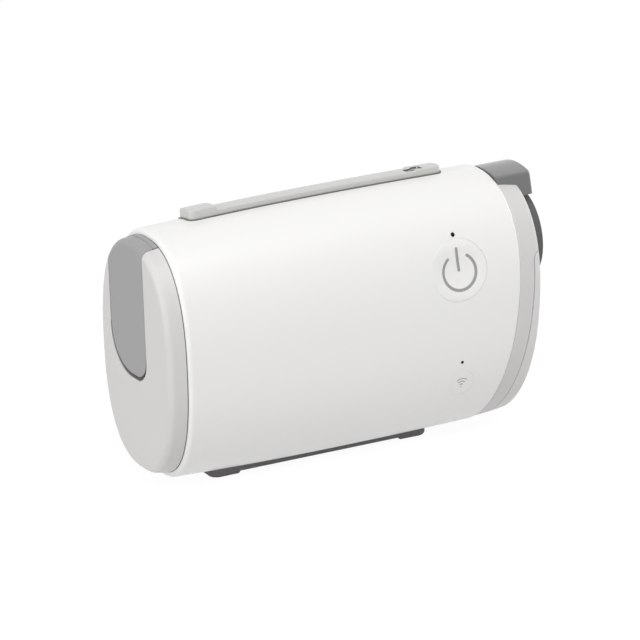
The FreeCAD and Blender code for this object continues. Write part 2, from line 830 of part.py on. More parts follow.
# --------------------------------------------------------------------------------------- the rails
def make_rails():
    """The light grey rail on top, which follows the barrel, and the dark rubber foot below."""
    left, length = S.rail_left.number, S.rail_length.number
    middle, width = S.rail_centre.number, S.rail_width.number

    def plan(grow):
        block = Part.makeBox(length + 2 * grow, width + 2 * grow, S.casing_height.number,
                             Vector(left - grow, middle - width / 2 - grow, centre_z.number))
        return rounded(block, S.rail_corner.number + grow,
                       lambda span: span.ZLength > 1.0 and span.XLength < 0.01)

    pad = S.rail_pad_length.number
    form = casing_form(-S.rail_rise.number)
    form = form.fuse(casing_form(-S.rail_pad_rise.number).common(half_space("x", -FAR, left + pad)))
    form = form.fuse(casing_form(-S.rail_end_rise.number).common(half_space("x", left + length - pad, FAR)))
    rail = form.common(plan(0.0)).fuse(casing_form(-S.rail_lip_rise.number).common(plan(S.rail_lip.number)))
    rail = rail.cut(barrel)
    notch_floor = centre_z.number + half_height.number + S.rail_rise.number - S.rail_notch_depth.number
    notch = Part.makeBox(S.rail_notch_length.number, S.rail_notch_width.number, half_height.number,
                         Vector(S.rail_notch_x.number, middle - width / 2 + S.rail_notch_inset.number, notch_floor))
    piece("top_rail", shaped("rail", rail.cut(notch)))

    front = S.foot_centre.number - S.foot_width.number / 2
    start = S.foot_left.number
    stop = start + S.foot_length.number
    foot_pad = S.foot_pad_length.number

    def bar(low, first, last):
        block = Part.makeBox(last - first, S.foot_width.number, S.foot_top.number - low,
                             Vector(first, front, low))
        block = rounded(block, S.foot_round.number, lambda span: span.ZLength > 1.0)
        return rounded(block, S.foot_bar_rise.number / 2, lambda span: span.ZMax < low + 0.01)

    foot = bar(S.foot_bar_rise.number, start, stop)
    for first in (start, stop - foot_pad):
        foot = foot.fuse(bar(0.0, first, first + foot_pad))
    piece("foot_rail", shaped("foot", foot.cut(barrel)))


# ------------------------------------------------------------------------------ buttons and lights
def make_buttons():
    """The dished start button and the small flat one, each with a flange behind the casing wall."""
    wall = S.casing_wall.number
    behind = casing_form(wall + 0.3)
    back = casing_form(wall + 0.3 + S.button_flange.number)
    stem_form = casing_form(wall + 0.3 + S.button_flange.number / 2)
    tip = -(S.board_front + S.switch_height + S.plunger_rise).number
    for node, height, radius, dished in (
        ("start_button", S.button_height.number, S.button_radius.number, True),
        ("pairing_button", S.pairing_height.number, S.pairing_radius.number, False),
    ):
        x = S.button_x.number
        shell = pin_shape(radius, -FAR / 2, 0.0, x, height).common(barrel).cut(back)
        flange = pin_shape(radius + S.button_flange.number, -FAR / 2, 0.0, x, height)
        flange = flange.common(behind).cut(back)
        stem = pin_shape(S.button_stem_radius.number, -FAR / 2, tip, x, height).common(stem_form)
        button = shell.fuse(flange).fuse(stem)
        if dished:
            button = button.cut(dish_ball(x, height))
            lens_way = S.status_lens_radius.number + S.door_gap.number
            button = button.cut(pin_shape(lens_way, -FAR / 2, 0.0, S.lens_x.number, S.status_lens_height.number))
        piece(node, shaped(node + "_form", button))


def front_y(height):
    """The depth of the barrel's front at one height."""
    side = half_depth.number - crown(S.button_x.number)[0]
    top = half_height.number - crown(S.button_x.number)[1]
    power = S.section_power.number
    return -side * (1 - (abs(height - centre_z.number) / top) ** power) ** (1 / power)


def dish_ball(x, height):
    """The ball that hollows the start button, set square to the sloping front."""
    tilt = math.radians(S.dish_tilt.number)
    outward = Vector(0, -math.cos(tilt), math.sin(tilt))
    start = Vector(x, front_y(height), height)
    middle = start + outward * (S.dish_radius.number - S.dish_depth.number)
    return Part.makeSphere(S.dish_radius.number, middle)


def make_lights():
    """The two light pipes that end flush with the front and start at the board."""
    for node, height, radius in (
        ("status_lens", S.status_lens_height, S.status_lens_radius),
        ("wireless_lens", S.wireless_lens_height, S.wireless_lens_radius),
    ):
        pipe = rod(node + "_pipe", radius, half_depth, (S.lens_x, -half_depth, height), "y")
        back = -S.board_front
        behind_wall = front_y(height.number) + 2 * S.casing_wall.number
        if behind_wall > back.number:
            back = Dim.of(behind_wall)
        reach = box(node + "_reach", (S.lens_x - 5, S.lens_x + 5), (-half_depth * 2, back),
                    (height - 5, height + 5))
        skin = shaped(node + "_front", barrel)
        piece(node, common(node + "_light", pipe, reach, skin))


# ---------------------------------------------------------------------- board, switches and chassis
def board_corners():
    """The board's four screw holes, measured from its lower left corner."""
    inset = S.board_hole_inset
    across = (inset, S.board_length - inset)
    return [(x, z) for z in (S.board_hole_low, S.board_height - S.board_hole_top) for x in across]


def make_board():
    """The main board with its chips and screws, and the two switches under the buttons."""
    length, height = S.board_length, S.board_height
    body = padded("main_board", rectangle(0, length, 0, height), S.board_thickness, S.board_left,
                  S.board_thickness - S.board_front, S.board_bottom, FRONT)
    corners = board_corners()
    holes = body.newObject("Sketcher::SketchObject", "board_holes")
    holes.AttachmentSupport = (origin_plane(body, "XY_Plane"), [""])
    holes.MapMode = "FlatFace"
    import Sketcher

    for index, (across, up) in enumerate(corners):
        spot = Vector(across.number, up.number, 0)
        holes.addGeometry(Part.Circle(spot, Vector(0, 0, 1), S.board_hole_radius.number), False)
        for kind, size in (("DistanceX", across), ("DistanceY", up)):
            number = holes.addConstraint(Sketcher.Constraint(kind, index, 3, size.number))
            holes.setExpression(f"Constraints[{number}]", size.text)
        number = holes.addConstraint(Sketcher.Constraint("Radius", index, S.board_hole_radius.number))
        holes.setExpression(f"Constraints[{number}]", S.board_hole_radius.text)
    pocket = body.newObject("PartDesign::Pocket", "board_hole_cut")
    pocket.Profile = holes
    pocket.Type = "ThroughAll"
    pocket.Midplane = True
    body.Tip = pocket
    piece("main_board", body)

    front = -S.board_front
    for node, place in (("start_switch", S.button_height), ("pairing_switch", S.pairing_height)):
        side = S.switch_side / 2
        case = box(node + "_case", (S.button_x - side, S.button_x + side), (front - S.switch_height, front),
                   (place - side, place + side))
        hole = rod(node + "_hole", S.plunger_radius + S.running_gap, S.switch_height,
                   (S.button_x, front - S.switch_height, place), "y")
        floor = box(node + "_floor", (S.button_x - side, S.button_x + side), (front - S.switch_floor, front),
                    (place - side, place + side))
        piece(node, fuse(node + "_whole", cut(node + "_open", case, hole), floor))
        stroke = S.button_travel + S.fit_gap
        length = S.switch_height + S.plunger_rise - S.switch_floor - stroke
        plunger = rod(node + "_plunger_rod", S.plunger_radius, length,
                      (S.button_x, front - S.switch_height - S.plunger_rise, place), "y")
        piece(node + "_plunger", plunger)

    chips = []
    back = S.board_thickness - S.board_front
    for index, (across, up, wide, tall, deep) in enumerate(
        ((8.0, 22.0, 9.0, 9.0, 0.9), (15.0, 36.0, 7.0, 5.0, 0.8), (4.0, 34.0, 5.0, 8.0, 0.9))
    ):
        chips.append(box(f"chip_{index}", (S.board_left + across, S.board_left + across + wide),
                         (back, back + deep), (S.board_bottom + up, S.board_bottom + up + tall)))
    piece("board_chips", fuse("chips", *chips))
    screws = []
    for across, up in corners:
        screws.append(screw("board_screw", S.board_left + across, front, S.board_bottom + up,
                            S.board_hole_radius - S.running_gap, S.board_front - S.chassis_front))
    piece("board_screws", fuse("board_screw_set", *screws))


def screw(name, x, y, z, radius, length, facing=1):
    """A pan head screw whose head sits on y. Facing 1 comes in from the front and -1 from the rear."""
    head_start = y - S.screw_head_height if facing > 0 else y
    shank_start = y if facing > 0 else y - length
    head = rod(name + "_head", S.screw_head_radius, S.screw_head_height, (x, head_start, z), "y")
    shank = rod(name + "_shank", radius, length, (x, shank_start, z), "y")
    return fuse(name, head, shank)


def make_chassis():
    """The moulded plate that everything inside is fixed to, with posts for board and blower."""
    front, back = -S.chassis_front, S.chassis_wall - S.chassis_front
    right = S.chassis_left + S.chassis_length
    top = S.chassis_bottom + S.chassis_height
    plate = box("chassis_plate", (S.chassis_left, right), (front, back), (S.chassis_bottom, top))
    tools = [rod("motor_opening", S.chassis_hole, FAR, (S.blower_x, -FAR / 2, blower_z), "y")]
    for index, (x, z) in enumerate(boss_places()):
        tools.append(rod(f"chassis_hole_{index}", S.screw_radius + S.fit_gap, FAR, (x, -FAR / 2, z), "y"))
    for index, (across, up) in enumerate(board_corners()):
        tools.append(rod(f"board_hole_{index}", S.board_hole_radius, FAR,
                         (S.board_left + across, -FAR / 2, S.board_bottom + up), "y"))
    parts = [plate]
    post = S.chassis_front - S.board_front + S.board_thickness
    for index, (across, up) in enumerate(board_corners()):
        parts.append(rod(f"board_post_{index}", S.boss_radius, -post,
                         (S.board_left + across, S.board_thickness - S.board_front, S.board_bottom + up), "y"))
    for index, (x, z) in enumerate(ear_places()):
        reach = S.chassis_front - S.chassis_wall + S.scroll_front + S.scroll_wall
        parts.append(rod(f"blower_post_{index}", S.mount_post, reach, (x, back, z), "y"))
    piece("chassis", cut("chassis_open", fuse("chassis_whole", *parts), *tools))
    length = S.chassis_wall + S.screw_length - S.fit_gap
    screws = [screw("chassis_screw", x, back, z, S.screw_radius, length, -1) for x, z in boss_places()]
    piece("chassis_screws", fuse("chassis_screw_set", *screws))


def ear_places():
    """Where the blower hangs in its three rubber mounts: x and z of each ear."""
    places = []
    for degrees in (150, 210, 330):
        reach = scroll_radius_at(degrees) + S.scroll_wall + S.mount_radius + S.ear_edge
        angle = math.radians(degrees)
        places.append((S.blower_x + reach * math.cos(angle), blower_z + reach * math.sin(angle)))
    return places


# -------------------------------------------------------------------------------------- the blower
def scroll_radius_at(degrees):
    """The scroll's radius at an angle from the +X direction: it widens evenly over one turn."""
    share = ((degrees - 90) % 360) / 360
    return S.scroll_radius - (S.scroll_radius - S.scroll_start) * share


def scroll_block(grow, low, depth):
    """The scroll as a solid of one depth, with the straight outlet channel that leaves at its crest."""
    middle = Vector(S.blower_x.number, low, blower_z.number)
    points = []
    count = 24
    for index in range(count + 1):
        degrees = 90 + 359.9 * index / count
        radius = scroll_radius_at(degrees).number + grow
        angle = math.radians(degrees)
        points.append(middle + Vector(radius * math.cos(angle), 0, radius * math.sin(angle)))
    spiral = Part.BSplineCurve()
    spiral.interpolate(points)
    wire = Part.Wire([spiral.toShape(), Part.makeLine(points[-1], points[0])])
    block = Part.Face(wire).extrude(Vector(0, depth, 0))
    half = channel_height().number / 2 + grow
    channel = Part.makeBox(S.outlet_run.number, depth, 2 * half,
                           Vector(middle.x, low, S.port_height.number - half))
    return block.fuse(channel)


def channel_height():
    """The height of the scroll's outlet channel, centred on the port."""
    return (S.scroll_radius - S.blower_drop) * 2


def make_blower():
    """The blower: two housing halves, the motor in a cup before the scroll, and the impeller."""
    wall = S.scroll_wall.number
    front = S.scroll_front.number
    depth = S.scroll_depth.number
    x, z = S.blower_x.number, blower_z.number
    outer = scroll_block(wall, front, depth)
    inner = scroll_block(0.0, front + wall, depth)
    mouth = Part.makeBox(4 * wall, depth, channel_height().number,
                         Vector(x + S.outlet_run.number - wall, front + wall,
                                S.port_height.number - channel_height().number / 2))
    cup_front = front - S.motor_depth.number
    cup = pin_shape(S.motor_radius.number, cup_front, front + wall, x, z)
    for ear_x, ear_z in ear_places():
        ear_x, ear_z = float(ear_x), float(ear_z)
        ear = pin_shape(S.ear_radius.number, front, front + 2 * wall, ear_x, ear_z)
        outer = outer.fuse(ear)
    lower = outer.cut(inner).cut(mouth).fuse(cup)
    for ear_x, ear_z in ear_places():
        lower = lower.cut(pin_shape(S.mount_radius.number, front - 1.0, front + 2 * wall + 1.0,
                                    float(ear_x), float(ear_z)))
    seat = S.bearing_radius.number
    length = S.bearing_length.number
    stator = S.motor_radius.number - wall
    room_low = cup_front + wall / 2 + length
    room_high = room_low + S.magnet_length.number + 2 * S.stator_gap.number
    lower = lower.cut(pin_shape(stator, room_low, room_high, x, z))
    lower = lower.cut(pin_shape(seat, cup_front + wall / 2, room_high + length, x, z))
    lower = lower.cut(pin_shape(S.shaft_radius.number + 0.5, cup_front + wall / 2, front + wall + 1.0, x, z))
    piece("blower_lower_housing", shaped("lower_housing", lower))

    lid_y = front + depth
    lid = scroll_block(wall, lid_y, wall)
    lip = pin_shape(S.inlet_radius.number + wall, lid_y, lid_y + wall + S.inlet_lip.number, x, z)
    lid = lid.fuse(lip).cut(pin_shape(S.inlet_radius.number, lid_y - 1.0, lid_y + FAR / 10, x, z))
    piece("blower_upper_housing", shaped("upper_housing", lid))
    make_motor(room_low, room_high)


def make_motor(room_low, room_high):
    """Bearings, stator with its coils, magnet, shaft and impeller, all turned about one axis."""
    at = (S.blower_x, 0, blower_z)
    length = S.bearing_length
    low = S.scroll_front - S.motor_depth + S.scroll_wall / 2 + length
    high = low + S.magnet_length + S.stator_gap * 2
    rings = []
    for index, start in enumerate((low - length, high)):
        outer = rod(f"bearing_{index}", S.bearing_radius, length, (at[0], start, at[2]), "y")
        bore = rod(f"bearing_bore_{index}", S.shaft_radius + S.running_gap, length, (at[0], start, at[2]), "y")
        rings.append(cut(f"bearing_ring_{index}", outer, bore))
    piece("motor_bearings", fuse("bearings", *rings))

    stator_radius = S.motor_radius - S.scroll_wall - S.running_gap
    tooth_tip = S.magnet_radius + S.stator_gap
    stack = S.magnet_length
    ring = rod("stator_ring", stator_radius, stack, (at[0], low + S.stator_gap, at[2]), "y")
    ring_bore = rod("stator_ring_bore", stator_radius - S.scroll_wall, stack,
                    (at[0], low + S.stator_gap, at[2]), "y")
    teeth = []
    coils = []
    count = int(S.stator_teeth.number)
    for index in range(count):
        turn = 2 * math.pi * index / count
        direction = Vector(math.cos(turn), 0, math.sin(turn))
        teeth.append(tooth_shape(direction, tooth_tip.number, stator_radius.number - 0.5, 2.0, stack.number,
                                 (low + S.stator_gap).number))
        coil = tooth_shape(direction, tooth_tip.number + 0.9, stator_radius.number - S.scroll_wall.number - 0.2,
                           3.6, stack.number - 0.2, (low + S.stator_gap).number + 0.1)
        coils.append(coil.cut(teeth[-1]))
    tooth_set = shaped("stator_teeth_set", Part.makeCompound(teeth))
    piece("motor_stator", fuse("stator", cut("stator_yoke", ring, ring_bore), tooth_set))
    piece("stator_coils", shaped("coils", Part.makeCompound(coils)))

    magnet_low = low + S.stator_gap
    magnet = rod("magnet_rod", S.magnet_radius, S.magnet_length, (at[0], magnet_low, at[2]), "y")
    magnet_bore = rod("magnet_bore", S.shaft_radius, S.magnet_length, (at[0], magnet_low, at[2]), "y")
    piece("rotor_magnet", cut("magnet", magnet, magnet_bore))
    shaft_low = low - length + S.stator_gap
    hub_top = S.scroll_front + S.scroll_wall + S.impeller_gap + S.impeller_plate + S.blade_height / 2
    shaft = rod("shaft_rod", S.shaft_radius, hub_top - shaft_low, (at[0], shaft_low, at[2]), "y")
    piece("impeller_shaft", shaft)
    make_impeller(hub_top)


def tooth_shape(direction, inner, outer, width, depth, low):
    """A flat bar that points along a radius of the motor, between two radii."""
    bar = Part.makeBox(outer - inner, depth, width, Vector(inner, low, -width / 2))
    angle = math.degrees(math.atan2(direction.z, direction.x))
    bar.rotate(Vector(0, 0, 0), Vector(0, 1, 0), -angle)
    bar.translate(Vector(S.blower_x.number, 0, blower_z.number))
    return bar


def make_impeller(hub_top):
    """The impeller: a turned hub and back plate with swept blades repeated round it."""
    base = S.scroll_front + S.scroll_wall + S.impeller_gap
    plate = S.impeller_plate
    section = [
        (S.shaft_radius, 0),
        (S.impeller_radius, 0),
        (S.impeller_radius, plate),
        (S.impeller_hub_radius + 3, plate),
        (S.impeller_hub_radius, plate + S.blade_height / 3),
        (S.impeller_hub_radius - 1, hub_top - base),
        (S.shaft_radius, hub_top - base),
    ]
    body = turned("impeller", section, S.blower_x, base, blower_z, TURN_Y)
    blade = blade_sketch(body)
    pad = body.newObject("PartDesign::Pad", "blade_pad")
    pad.Profile = blade
    bind(pad, Length=plate + S.blade_height)
    ring = body.newObject("PartDesign::PolarPattern", "blade_ring")
    ring.Originals = [pad]
    ring.Axis = (blade, ["N_Axis"])
    ring.Angle = 360
    ring.Occurrences = int(S.impeller_blades.number)
    body.Tip = ring
    piece("impeller", body)


def blade_sketch(body):
    """One swept blade: two arcs about one middle, closed by short lines at root and tip."""
    import Sketcher

    inner, outer = S.impeller_hub_radius.number + 1.5, S.impeller_radius.number - 0.2
    sweep = 1.1
    lean = (outer - inner) * sweep
    wall = S.blade_wall.number
    middle = Vector((inner + outer) / 2, -lean, 0)
    sketch = body.newObject("Sketcher::SketchObject", "blade_outline")
    sketch.AttachmentSupport = (origin_plane(body, "XY_Plane"), [""])
    sketch.MapMode = "FlatFace"
    reach = math.hypot((outer - inner) / 2, lean)
    low = math.atan2(lean, (outer - inner) / 2)
    high = math.pi - low
    flat = Vector(0, 0, 1)
    for radius in (reach, reach + wall):
        sketch.addGeometry(Part.ArcOfCircle(Part.Circle(middle, flat, radius), low, high), False)
    ends = [[middle + Vector(math.cos(angle), math.sin(angle), 0) * radius for angle in (low, high)]
            for radius in (reach, reach + wall)]
    for side in (0, 1):
        sketch.addGeometry(Part.LineSegment(ends[0][side], ends[1][side]), False)
        sketch.addConstraint(Sketcher.Constraint("Coincident", 0, side + 1, 2 + side, 1))
        sketch.addConstraint(Sketcher.Constraint("Coincident", 1, side + 1, 2 + side, 2))
    sketch.addConstraint(Sketcher.Constraint("Coincident", 0, 3, 1, 3))
    return sketch


def make_mounts():
    """The three soft rubber bushes that the blower's ears hang in, each on its chassis post."""
    rings = []
    for index, (x, z) in enumerate(ear_places()):
        low = S.scroll_front - 1
        length = S.scroll_wall * 2 + 2
        outer = rod(f"mount_{index}", S.mount_radius, length, (x, low, z), "y")
        bore = rod(f"mount_bore_{index}", S.mount_post, length, (x, low, z), "y")
        rings.append(cut(f"mount_ring_{index}", outer, bore))
    piece("blower_mounts", fuse("mounts", *rings))


# --------------------------------------------------------------------------------- the air path
def make_air_path():
    """The muffler foam by the inlet, the duct to the port and the flow sensor on it."""
    left = rim_x.number + S.spigot_length.number + S.foam_gap.number
    foam = casing_form(S.casing_wall.number + S.foam_gap.number)
    foam = foam.common(half_space("x", left, left + S.foam_length.number))
    channel = Part.makeCylinder(S.foam_channel.number, FAR,
                                Vector(left - 1.0, S.door_centre.number, S.bay_bottom.number
                                       + S.bay_height.number / 2), Vector(1, 0, 0))
    piece("muffler_foam", shaped("foam", foam.cut(channel)))

    start = S.blower_x.number + S.outlet_run.number
    stop = (bulkhead_x() - S.port_flange_wall - S.seal_wall).number
    wall = S.duct_wall.number
    middle_y = S.scroll_front.number + (S.scroll_depth.number + S.scroll_wall.number) / 2
    deep = S.scroll_depth.number - S.scroll_wall.number
    tall = channel_height().number

    def duct(grow):
        half_y, half_z = deep / 2 + grow, tall / 2 + grow
        corners = [Vector(start, middle_y + y * half_y, S.port_height.number + z * half_z)
                   for y, z in ((-1, -1), (1, -1), (1, 1), (-1, 1), (-1, -1))]
        first = Part.makePolygon(corners)
        turn = [Part.Edge(Part.Circle(Vector(stop, 0, S.port_height.number), Vector(1, 0, 0),
                                      S.duct_bore.number + grow))]
        return Part.makeLoft([first, Part.Wire(turn)], True, True)

    piece("outlet_duct", shaped("duct", duct(wall).cut(duct(0.0))))
    middle = (start + stop) / 2
    low = duct(wall).BoundBox.ZMax
    sensor = Part.makeBox(S.sensor_length.number, S.sensor_width.number, S.sensor_height.number,
                          Vector(middle - S.sensor_length.number / 2,
                                 middle_y / 2 - S.sensor_width.number / 2, low))
    for offset in (-1, 1):
        nipple = Part.makeCylinder(0.8, 4.0, Vector(middle + offset * S.sensor_length.number / 4,
                                                    middle_y / 2, low - 4.0))
        sensor = sensor.fuse(nipple)
    piece("flow_sensor", shaped("sensor", sensor.cut(duct(wall))))


# ---------------------------------------------------------------------------------------- write out
def main():
    make_casing()
    make_inlet_end()
    make_outlet_end()
    make_rails()
    make_buttons()
    make_lights()
    make_board()
    make_chassis()
    make_blower()
    make_mounts()
    make_air_path()
    doc.recompute()
    for thing in doc.Objects:
        if "Invalid" in thing.State or "Error" in thing.State:
            raise RuntimeError(f"{thing.Name} did not compute: {thing.State}")
    for thing in pieces:
        shape = thing.Shape
        if shape.isNull() or not shape.isValid() or not shape.Solids:
            raise RuntimeError(f"{thing.Label} has no valid solid")
    os.makedirs("parts", exist_ok=True)
    for thing in pieces:
        thing.Shape.exportStep(f"parts/{thing.Label}.step")
        print(f"{thing.Label:24s} {len(thing.Shape.Solids)} solid(s) {thing.Shape.Volume:10.1f} mm3")


main()
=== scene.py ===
"""The looks of a travel CPAP machine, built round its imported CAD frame.

Shapes are worked out in millimetres as numpy arrays, and become metres when they go into a mesh.
X runs from the air inlet end (-X) to the air outlet end (+X), the front faces -Y and Z is up.
"""

import json
import math
from types import SimpleNamespace

import bmesh
import bpy
import numpy as np
from bpy.props import FloatProperty, FloatVectorProperty, PointerProperty
from mathutils import Matrix, Vector


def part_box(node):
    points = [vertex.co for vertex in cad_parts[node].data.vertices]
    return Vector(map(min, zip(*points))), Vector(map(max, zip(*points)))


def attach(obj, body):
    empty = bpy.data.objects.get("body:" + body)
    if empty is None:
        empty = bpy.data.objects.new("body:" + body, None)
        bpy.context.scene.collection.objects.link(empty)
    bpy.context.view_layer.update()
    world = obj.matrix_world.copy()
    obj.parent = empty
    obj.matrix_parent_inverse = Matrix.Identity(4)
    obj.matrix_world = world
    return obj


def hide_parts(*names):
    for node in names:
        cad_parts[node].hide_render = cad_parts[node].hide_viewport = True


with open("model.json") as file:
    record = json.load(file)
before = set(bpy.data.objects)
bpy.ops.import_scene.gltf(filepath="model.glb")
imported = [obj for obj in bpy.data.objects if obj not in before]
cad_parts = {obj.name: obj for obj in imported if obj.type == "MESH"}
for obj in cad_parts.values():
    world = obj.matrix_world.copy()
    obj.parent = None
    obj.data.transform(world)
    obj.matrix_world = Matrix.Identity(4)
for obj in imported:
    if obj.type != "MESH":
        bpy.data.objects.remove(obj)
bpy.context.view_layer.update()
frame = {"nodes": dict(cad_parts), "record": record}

bl_info = {
    "name": "Travel CPAP machine",
    "version": (1, 0, 0),
    "blender": (4, 5, 0),
    "location": "3D View > Sidebar > CPAP",
    "description": "Builds the casing, ends, rails and buttons of a travel-size CPAP machine",
    "category": "Object",
}

MM = 0.001
FINISH = "_finish"    # keeps these materials apart from the frame's plain ones of the same slot
FAR = 60.0            # a cutter that ends here is clear of the machine
CLEAR = 5.0           # how far a cutter goes past a piece's face
MERGE = 0.002         # points nearer than this become one


# ------------------------------------------------------------------------ sizes read off the frame
def corners(node):
    """The lowest and highest corner of a CAD node in millimetres."""
    low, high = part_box(node)
    return np.array(low) / MM, np.array(high) / MM


shell_low, shell_high = corners("front_shell")
RIM_X, EDGE_X = shell_low[0], shell_high[0]
HALF_DEPTH = -shell_low[1]
MIDDLE_Z = (shell_low[2] + shell_high[2]) / 2
HALF_HEIGHT = (shell_high[2] - shell_low[2]) / 2
FACE_X = corners("inlet_end_cap")[0][0]
END_X = corners("outlet_end_frame")[1][0]
hood_low, hood_high = corners("connector_hood")
rail_low, rail_high = corners("top_rail")
foot_low, foot_high = corners("foot_rail")
door_low, door_high = corners("filter_door")
port_low, port_high = corners("outlet_port")
WAIST_X = (RIM_X + EDGE_X) / 2
HALF_LENGTH = (EDGE_X - RIM_X) / 2
CAP_LENGTH = RIM_X - FACE_X

# the barrel: how square its oval section is, and how far it draws in towards its ends
SECTION_POWER = 2.45
CROWN_INLET, CROWN_OUTLET, SIDE_CROWN = 1.3, 0.7, 0.2
# the inlet cap: its step in from the rim and its draft towards the face, at the side and at the top
CAP_STEP = (1.3, 1.7)
CAP_DRAFT = (0.5, 0.8)
# the outlet end: its taper at the side and at the top, and where that taper starts
FRAME_TAPER = (1.4, 2.6)
FRAME_START = EDGE_X - 2 * (END_X - EDGE_X)
# wide arcs seen from the front, as radius, right end and height of that end
EDGE_ARC = (172.0, EDGE_X, MIDDLE_Z + 24.8)
FACE_ARC = (243.0, END_X, MIDDLE_Z + 22.7)

# the filter door: how its lines straighten below the cap's curved edge, and its recess and pocket
DOOR_LEVEL_DROP = 1.0
DOOR_STRAIGHTEN = 14.0
DOOR_RECESS_DROP = 1.2
HINGE_POCKET = 2.4
BAY_GAP = 0.25
DOOR_TOP_CORNER, SHARP_CORNER = 0.3, 0.01
# the door's heel: where it starts behind the hinge, how far it ends from the rim, and its section
HEEL_START, HEEL_END, HEEL_CORNER = 0.03, 0.25, 0.1
HEEL_EDGE, HEEL_RISE, HEEL_WALL, HEEL_SPINE = 0.06, 0.15, 0.8, 0.8
# the painted shade lines, dark bands that stand for the shadow in the gaps: the rim's band along X
# and as insets, and the door's under and beside its edge
RIM_SHADE_X, RIM_SHADE_INSETS = (-0.22, 0.3), (-0.04, 0.5)
DOOR_SHADE_LAP, DOOR_SHADE_GAP, DOOR_SHADE_TOP = 0.6, 0.04, 0.02
DOOR_SHADE_DROP, DOOR_SHADE_WALL = 0.1, 1.6
# the buttons and lights
BUTTON_WALL = 1.6
BUTTON_SOFT = 0.5
START_EDGE, PAIRING_EDGE, LENS_EDGE = 0.15, 0.05, 0.12
LENS_GAP = 0.04
START_SIGN_PLACE = (0.35, -0.6)
START_SIGN_RADIUS, START_SIGN_HALF, START_SIGN_BAR = 5.65, 0.46, 7.8
START_SIGN_RING, START_SIGN_LEAN = (125, 421), 93    # degrees: the ring's ends, and the bar
START_SIGN_LIFT, WAVE_LIFT, SIGN_DEPTH = 0.035, 0.03, 0.3
WAVE_RADII, WAVE_HALF, WAVE_DROP = (0.95, 1.9, 2.85), 0.14, 1.3
WAVE_ENDS = (52, 128)                                # degrees
DOT_REACH, DOT_HALF = 0.16, 0.2
# the outlet port and the holes for it and for the power inlet
PORT_HOLE, JACK_HOLE = 15.1, 4.7
THROUGH_X = (-40.0, 90.0)
END_START_ROUND, END_START_GAP = 0.35, 0.05
PORT_OUTER, PORT_BORE, PORT_FLANGE = 15.0, 10.0, 1.6
SEAL_INNER, SEAL_OUTER, SEAL_DEPTH = 11.6, 13.6, 7.0
PORT_ROUND = 0.35
# the hood: where it starts, its bowed nose, and the two arches of its top, which meet at the crest
HOOD_LEFT, HOOD_NOSE, HOOD_CORNER = 45.5, 100.0, 1.0
HOOD_FRONT_ARCH, HOOD_REAR_ARCH, HOOD_CREST = 47.0, 23.0, -1.5
HOOD_LIFT, HOOD_SINK, HOOD_CASING_GAP, HOOD_WALL = 0.1, 0.5, 0.12, 0.3
HOOD_CORNER_END, HOOD_NOSE_INSET = -0.42, 0.7    # where the corner's arc and the nose's end
HOOD_SPINE_INSETS = (6, 12)                      # from the left end and from the tip
HOOD_FOOT_STEP = (1.2, 0.9)                      # from the outlet end: the foot turns level
HOOD_LEAN_TOP, HOOD_LEAN_FOOT, HOOD_LEAN_LENGTH = 0.3, 1.1, 8.0
# the top rail with its pads, its latch notch (x, then y from the rail's front), a dark sheet of
# painted shade in the notch, and the lip round it, which is coloured dark as painted shade
RAIL_HEIGHT, RAIL_LIP, RAIL_SINK = 2.0, 0.6, 0.3
RAIL_CORNER, RAIL_EDGE = 2.0, 0.45
PAD_LENGTH, PAD_SLOPE = 9.5, 0.7
PAD_RISE = (1.2, 0.4)
NOTCH_X, NOTCH_Y, NOTCH_DEPTH = (29.0, 34.5), (0.9, 3.9), 1.2
NOTCH_SLOPE_X, NOTCH_SLOPE_Y = 0.4, 0.3
BAR_LOW, BAR_HIGH = rail_low + RAIL_LIP, rail_high - RAIL_LIP
NOTCH_SHADE_SHARE, NOTCH_SHADE_LIFT, NOTCH_SHADE_WALL, NOTCH_SHADE_GAPS = 0.85, 0.02, 0.3, (0.03, 0.02)
LIP_HEIGHT, LIP_CORNER, LIP_EDGE = 0.3, 2.6, 0.15
# the foot
FOOT_RISE, FOOT_PAD_SLOPE, FOOT_SINK, FOOT_WALL = 0.7, 0.6, 0.2, 0.1
FOOT_CORNER, FOOT_EDGE = 3.0, 1.1
# the camera's sensor, the frame it fills and the point it aims at, and the lamps' in metres
SENSOR, FRAME_PIXELS = 36.0, 640
AIM = (-4.55, 0.0, 43.0)
LAMP_AIM = (0, 0, 0.04)
# the floor in metres, how much of what the camera sees there is plain white, and how bright that is
FLOOR_HALF, FLOOR_WHITE, FLOOR_GLOW = 1.5, 0.88, 1.08
WHITE = (1, 1, 1, 1)


def centre_of(node):
    """The middle of a CAD node's box in millimetres."""
    return sum(corners(node)) / 2


def radius_of(node):
    """The radius of a round CAD node that faces the front."""
    low, high = corners(node)
    return (high[0] - low[0]) / 2


START = centre_of("start_switch_plunger")
PAIRING = centre_of("pairing_switch_plunger")
PORT = centre_of("outlet_port")
HINGE = centre_of("door_hinge_pin")


# ------------------------------------------------------------------------------- the user's values
def number(name, description, value, **options):
    """A number property."""
    return FloatProperty(name=name, description=description, default=value, **options)


def length(name, description, millimetres, low=0.0, high=10.0):
    """A length property with its default in millimetres."""
    return number(name, description, millimetres * MM, min=low * MM, max=high * MM, unit="LENGTH",
                  precision=5)


def colour(name, description, value):
    """A colour property in scene linear values."""
    return FloatVectorProperty(name=name, description=description, default=value, size=3,
                               min=0.0, max=1.0, subtype="COLOR")


